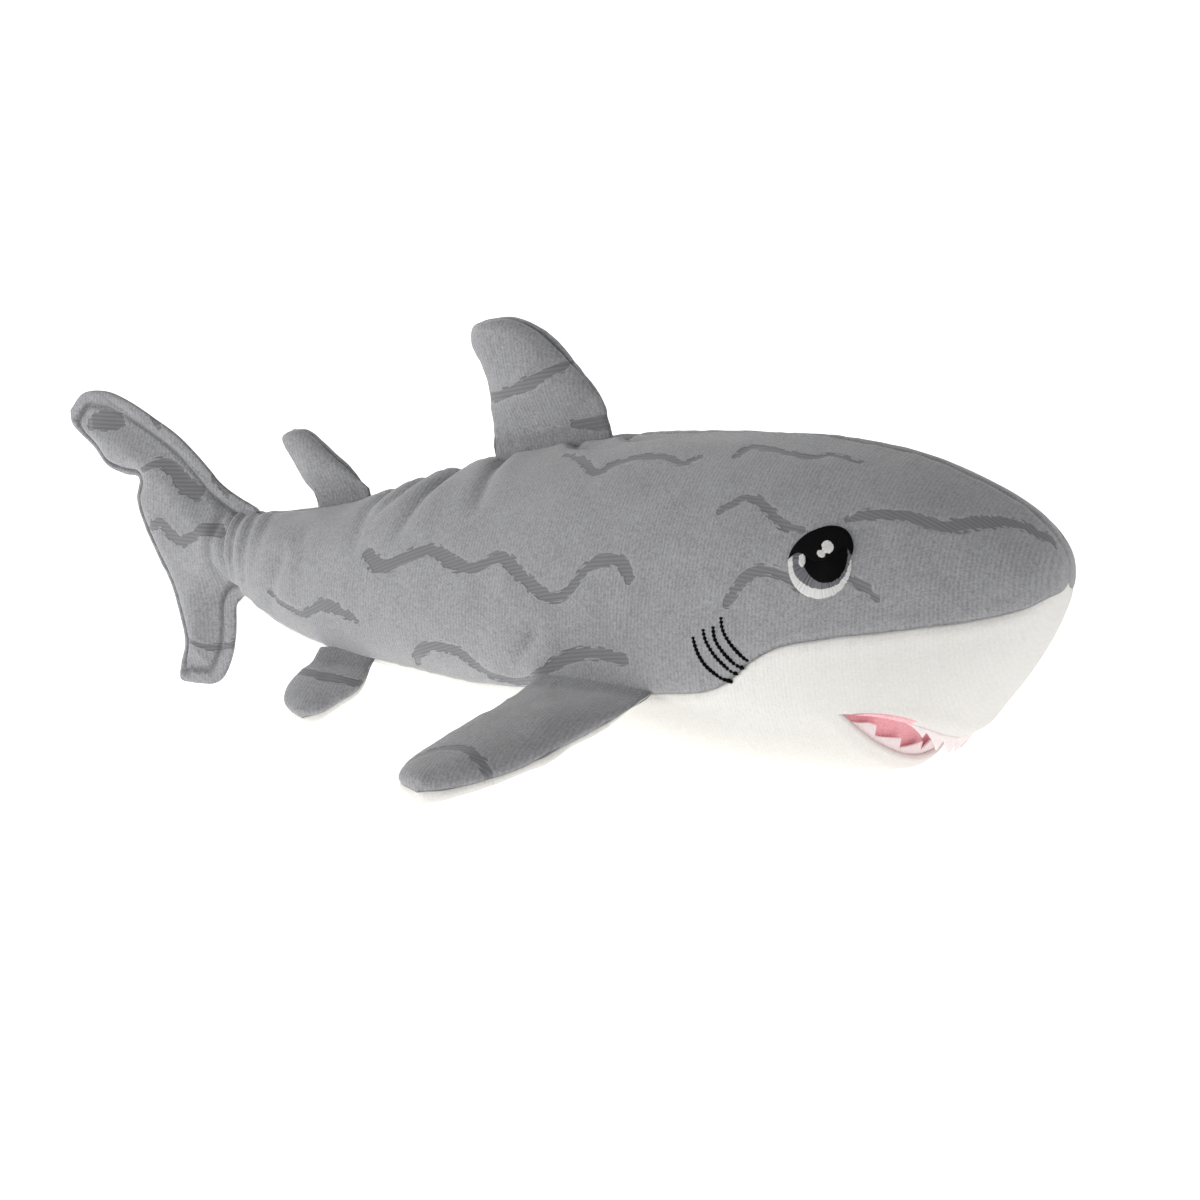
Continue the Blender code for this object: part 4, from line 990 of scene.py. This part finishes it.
class Fin:
    """One fin's place and outline: its hinge centre, its directions and its size."""

    def __init__(self, kind, side):
        centre, ahead, up, self.chord, self.span, self.thickness = FIN_PLACES[kind]
        flip = np.array([1, side, 1])
        self.centre = np.array(centre) * flip
        self.ahead = unit(np.array(ahead))
        up = np.array(up) * flip
        self.up = unit(up - self.ahead * (up @ self.ahead))
        self.out = np.cross(self.ahead, self.up)
        self.kind = kind

    def grid(self, face, seed):
        """One panel. Below the hinge it runs on into the body, at the tip it closes."""
        sunk = 0.14 if self.kind in ("dorsal", "pectoral") else 0.24
        rise = np.concatenate([np.linspace(-sunk, 0, 18)[:-1],
                               1 - (1 - np.linspace(0, 1, FIN_ROWS)) ** 1.25])
        inside = np.clip(rise, 0, 1)
        front, rear = (smooth_at(edge, inside) for edge in FIN_OUTLINES[self.kind])
        across = np.sin(np.linspace(-1, 1, FIN_COLUMNS) * math.pi / 2)
        scale = np.array([self.chord, self.span])
        centre, reach = (front + rear) / 2 * scale, (front - rear) / 2 * scale
        centre[:, 1] += np.minimum(rise, 0) * self.span
        flat = centre[:, None] + reach[:, None] * across[None, :, None]
        swell = 0.30 + 0.70 * eased(inside / 0.32)
        full = self.thickness / 2 * swell * np.clip(1 - inside ** 5, 0, 1) ** 0.5
        width = np.linalg.norm(reach, axis=-1)
        full = np.minimum(full, width * 0.9)[:, None]
        height = full * (1 - np.abs(across[None, :]) ** 2.3) ** 0.52
        points = self.place(flat, face * height)
        out = normals(points)
        out = out * np.sign((out @ self.out) * face + 1e-9)[..., None]
        edge = row_length(points)
        edge = np.minimum(edge, edge[:, -1:] - edge) * 1000
        edge = np.minimum(edge, 1000 * self.span * (1.004 - rise)[:, None])
        ahead_mm, up_mm = flat[..., 0] * 1000, flat[..., 1] * 1000
        thick = np.clip(full * 1000 / 4, 0, 1)
        place = up_mm + 40 * (across[None, :] > 0)      # other puckers on the leading edge
        relief = thick * seam_relief(edge, place, seed, 0.75, 1.0, 0.30)
        relief += 0.62 * thick * value_noise(ahead_mm / 12, up_mm / 12, seed + 1)
        relief += 0.12 * thick * value_noise(ahead_mm / 4.5, up_mm / 5, seed + 2)
        gather = np.exp(-((up_mm - 1.0) / 4.5) ** 2)
        relief += gather * (0.35 * value_noise(ahead_mm / 4.0, 0 * up_mm + 0.5, seed + 3) - 0.5)
        mark = mark_distance(flat * 1000, FIN_MARKS.get(self.kind, []))
        relief -= MARK_DEPTH * np.clip(0.5 - mark, 0, 1)
        relief[-1] = 0
        points = raised(points, out, relief)
        tuck = unit(self.place(centre[:, None] + 0 * flat, 0 * height) - points)
        tuck = tuck * np.clip(width / 0.006, 0, 1)[:, None, None] * 0.6
        shaded = np.minimum(edge, 0.30 + 0.11 * np.maximum(up_mm, 0))      # painted shade at the root and the edge seam
        return {"points": turned_edges(points, tuck), "cloth": widened(flat),
                "mark": widened(mark), "seam": widened(shaded), "flip": face > 0}

    def place(self, flat, height):
        """Points in space from places on the fin's flat and heights off it."""
        return (self.centre + flat[..., :1] * self.ahead + flat[..., 1:] * self.up
                + height[..., None] * self.out)


def build_fin(kind, side, body, words, fabrics, replaced, filling, seed):
    """Both panels of a fin."""
    fin = Fin(kind, side)
    for face, word, fabric, node in zip((1, -1), words, fabrics, replaced):
        nodes = (node, filling) if face > 0 else (node,)
        made = piece(f"{body}_{word}_skin", [fin.grid(face, seed + face)], fabric, nodes)
        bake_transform(made)


build_fin("dorsal", LEFT, "dorsal_fin", ("right", "left"), (GREY, GREY),
          ("dorsal_fin_right_panel", "dorsal_fin_left_panel"), "dorsal_fin_stuffing", 60)
build_fin("second_dorsal", LEFT, "second_dorsal_fin", ("right", "left"), (GREY, GREY),
          ("second_dorsal_right_panel", "second_dorsal_left_panel"),
          "second_dorsal_stuffing", 65)
for side, word in ((RIGHT, "right"), (LEFT, "left")):
    for kind, seed in (("pectoral", 70), ("pelvic", 80)):
        names = (f"{kind}_{word}_top_panel", f"{kind}_{word}_under_panel")
        order = 1 if side == LEFT else -1
        build_fin(kind, side, f"{kind}_fin_{word}", ("top", "under")[::order],
                  (GREY, WHITE)[::order], names[::order], f"{kind}_{word}_stuffing",
                  seed + side)

# %% [markdown]
# ## Tail fin
# The tail is a tall crescent. It is filled, then topstitched about 6 mm inside its edge, so
# a flat rim runs all the way round a full middle, and the stitch line pulls small puckers
# into the rim. Where it joins the body it is as thick as the body's end.

# %% Tail fin
TAIL_HEIGHT = 0.1160
TAIL_LENGTH = 0.0795
TAIL_FRONT = [(0.25, 0.000), (0.13, 0.008), (0.06, 0.055), (0.01, 0.155), (0.00, 0.275),
              (0.01, 0.385), (0.01, 0.505), (0.01, 0.625), (0.06, 0.690), (0.18, 0.775),
              (0.33, 0.860), (0.49, 0.922), (0.65, 0.975), (0.78, 1.000), (0.915, 0.988),
              (1.00, 0.925)]
TAIL_REAR = [(0.25, 0.000), (0.34, 0.010), (0.335, 0.070), (0.31, 0.145), (0.34, 0.240),
             (0.39, 0.345), (0.47, 0.440), (0.55, 0.545), (0.59, 0.630), (0.575, 0.705),
             (0.66, 0.715), (0.77, 0.740), (0.85, 0.800), (0.93, 0.842), (0.988, 0.880),
             (1.00, 0.925)]
TAIL_MARKS = [
    ([(-204, 105), (-198, 106.5), (-192, 105.5)], (5.0, 8.0, 7.0)),
    ([(-177, 88), (-169, 91), (-163, 87), (-159, 83), (-153, 79.5)], (3.4, 4.0, 6.0, 6.0)),
    ([(-173, 65), (-168, 67.5), (-163, 63.5), (-157, 60.5), (-151, 63.5), (-145, 66.5),
      (-138, 66)], (4.0, 4.6, 4.4, 4.2, 4.6)),
    ([(-158, 20.5), (-151, 18), (-143, 17.5), (-136, 21)], (1.6, 2.6, 2.4, 2.4)),
    ([(-176, 111), (-172, 105)], (2.8, 2.6)),
    ([(-145, 86), (-139, 80)], (3.4, 2.8)),
]
TAIL_CREASE = [(-140, 72), (-142, 58), (-140, 46)]
RIM_AHEAD = 5.8      # mm from the leading edge to the topstitching
RIM_BEHIND = 2.5      # the trailing rim is bent back by the filling, so less of it shows
TAIL_ROWS, TAIL_COLUMNS = 300, 120


def lesser(a, b, softness):
    """The smaller of two values, rounded where they cross."""
    return -softness * np.log(np.exp(-a / softness) + np.exp(-b / softness))


def tail_edges(count):
    """Leading and trailing outline in mm; the leading one runs on into the body."""
    scale = np.array([-TAIL_LENGTH, TAIL_HEIGHT]) * 1000
    shift = np.array([TAIL_SEAM_X * 1000 - 1.3, 1.6])
    front, rear = (smooth_line(edge, count) * scale + shift for edge in (TAIL_FRONT, TAIL_REAR))
    z = front[:, 1]
    front[:, 0] += 7 * eased((86 - z) / 12) * eased((z - 34) / 9)
    front[:, 0] += 5 * np.exp(-((z - 74) / 3.5) ** 2)
    return front, rear


def tail_grid(face):
    """One panel of the crescent: rim, stitch groove and filled middle by edge distance."""
    front, rear = tail_edges(TAIL_ROWS)
    across = np.sin(np.linspace(-1, 1, TAIL_COLUMNS) * math.pi / 2)
    centre, reach = (front + rear) / 2, (front - rear) / 2
    flat = centre[:, None] + reach[:, None] * across[None, :, None]
    x, z = flat[..., 0], flat[..., 1]
    leading, trailing = tail_edges(90)
    low = np.vstack([leading[leading[:, 1] < 40], [(-120.0, 43.0)]])
    high = np.vstack([[(-116.0, 74.0)], leading[leading[:, 1] > 75]])
    ahead = np.maximum(np.minimum(stroke_distance(flat, low), stroke_distance(flat, high)), 0)
    behind = np.maximum(stroke_distance(flat, trailing), 0)
    edge = np.minimum(ahead, behind)
    past = lesser(ahead - RIM_AHEAD, behind - RIM_BEHIND, 1.1)
    leading_rise = eased((ahead - RIM_AHEAD + 1.0) / 15.0)
    trailing_rise = np.sqrt(1 - (1 - np.clip((behind - RIM_BEHIND) / 8.0, 0, 1)) ** 2)
    middle = np.clip(lesser(leading_rise, trailing_rise, 0.08), 0, 1)
    along = z + 0.6 * x
    root = np.exp(-((z - 59) / 17) ** 2) * np.clip((x + 176) / 36, 0, 1) ** 1.3
    filled = 0.4 + 6.0 * middle + 4.8 * root * np.clip(past / 3, 0, 1)
    across_rim = edge / np.maximum(edge - past, 0.5)
    rim = 0.3 + 1.15 * np.sqrt(np.clip(1 - (2 * across_rim - 1) ** 2, 0, 1))
    height = np.where(past < 0, rim, filled)
    tugs = value_noise(along / 3.1, 0 * along + 0.5, 91)
    tugs = tugs + 0.6 * value_noise(along / 1.6, 0 * along + 5, 92)
    height = height + 0.42 * tugs * np.exp(-((past + 1.2) / 2.2) ** 2) * (edge > 0.4)
    height = np.maximum(height - 0.6 * np.exp(-(past / 0.8) ** 2), 0.12)
    height += 0.4 * np.clip(middle * 2, 0, 1) * value_noise(x / 12, z / 12, 93)
    height += fold(flat, TAIL_CREASE, 1.4, 2.0) * np.clip(height / 3, 0, 1)
    mark = mark_distance(flat, TAIL_MARKS)
    height = np.maximum(height - MARK_DEPTH * np.clip(0.5 - mark, 0, 1), 0.1)
    height[:, [0, -1]] = 0.0
    height[[0, -1]] = 0.0
    points = np.stack([x, face * height, np.maximum(z, 0.2)], axis=-1) / 1000
    # Painted shade along the stitch lines and the outer edge; less on the trailing line, which
    # the bent rim half hides.
    shaded = 0.36 * np.abs(past) + 0.4 * (behind < ahead - 3.3)
    return {"points": points, "cloth": flat / 1000, "mark": mark,
            "seam": np.minimum(shaded, edge + 0.3), "flip": face < 0}


for face, word in ((RIGHT, "right"), (LEFT, "left")):
    nodes = (f"caudal_fin_{word}_panel",) + (("caudal_fin_stuffing",) if face > 0 else ())
    made = piece(f"caudal_fin_{word}_skin", [tail_grid(face)], GREY, nodes)
    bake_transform(made)

# %% [markdown]
# ## Studio
# A pale table lit from below, a room that is brightest near the horizon and behind the
# tail, and two large soft lights: the pile is read by its own shading, and the shadows
# stay faint.

# %% Floor, light and camera
WHITE_LIGHT = (1, 1, 1, 1)
TABLE_TOP = -0.0004      # a little under the toy
floor_mesh = bpy.data.meshes.new("table_top")
floor_mesh.from_pydata([(x, y, TABLE_TOP) for x, y in ((-6, -6), (6, -6), (6, 6), (-6, 6))],
                       [], [(0, 1, 2, 3)])
floor = new_object("table_top", floor_mesh)
table_paint, table_tree, table_shader = new_material("lit_white_table")
fill(table_tree, table_shader, {"Base Color": linear("#F6F6F6"), "Roughness": 0.9,
                                "Emission Color": WHITE_LIGHT, "Emission Strength": 0.66})
floor_mesh.materials.append(table_paint)

world = bpy.data.worlds.new("bright_room")
world.use_nodes = True
sky = world.node_tree
way = add(sky, "ShaderNodeSeparateXYZ", {0: add(sky, "ShaderNodeTexCoord").outputs["Generated"]})
glow = ramp(sky, way.outputs[2], 0.08, 0.60, 1.20, 0.38)
glow = calc(sky, "MULTIPLY", glow, calc(sky, "MULTIPLY_ADD", way.outputs[0], -0.24, 1.0))
fill(sky, sky.nodes["Background"], {"Strength": glow, "Color": WHITE_LIGHT})
bpy.context.scene.world = world

TARGET = Vector((0.0292, 0.0, 0.0515))


def aim(made, offset):
    """Stand a light or the camera at an offset from the target, facing it."""
    made.location = TARGET + offset
    made.rotation_euler = offset.to_track_quat("Z", "Y").to_euler()


def soft_light(name, place, size, power):
    """A square soft box facing the toy."""
    lamp = bpy.data.lights.new(name, "AREA")
    lamp.size = size
    lamp.energy = power
    aim(new_object(name, lamp), Vector(place) - TARGET)


soft_light("key_soft_box", (-1.7, -1.0, 0.22), 0.8, 19)
soft_light("back_soft_box", (-0.6, 1.3, 0.9), 1.4, 6)

camera_data = bpy.data.cameras.new("camera")
camera_data.lens = 111.3
camera_data.sensor_width = 36
camera_data.clip_start = 0.05
camera = new_object("camera", camera_data)
azimuth, elevation, distance = math.radians(29), math.radians(10), 1.4
back = Vector((math.sin(azimuth) * math.cos(elevation), -math.cos(azimuth) * math.cos(elevation),
               math.sin(elevation)))
aim(camera, back * distance)
bpy.context.scene.camera = camera
bpy.context.scene.view_settings.view_transform = "Standard"
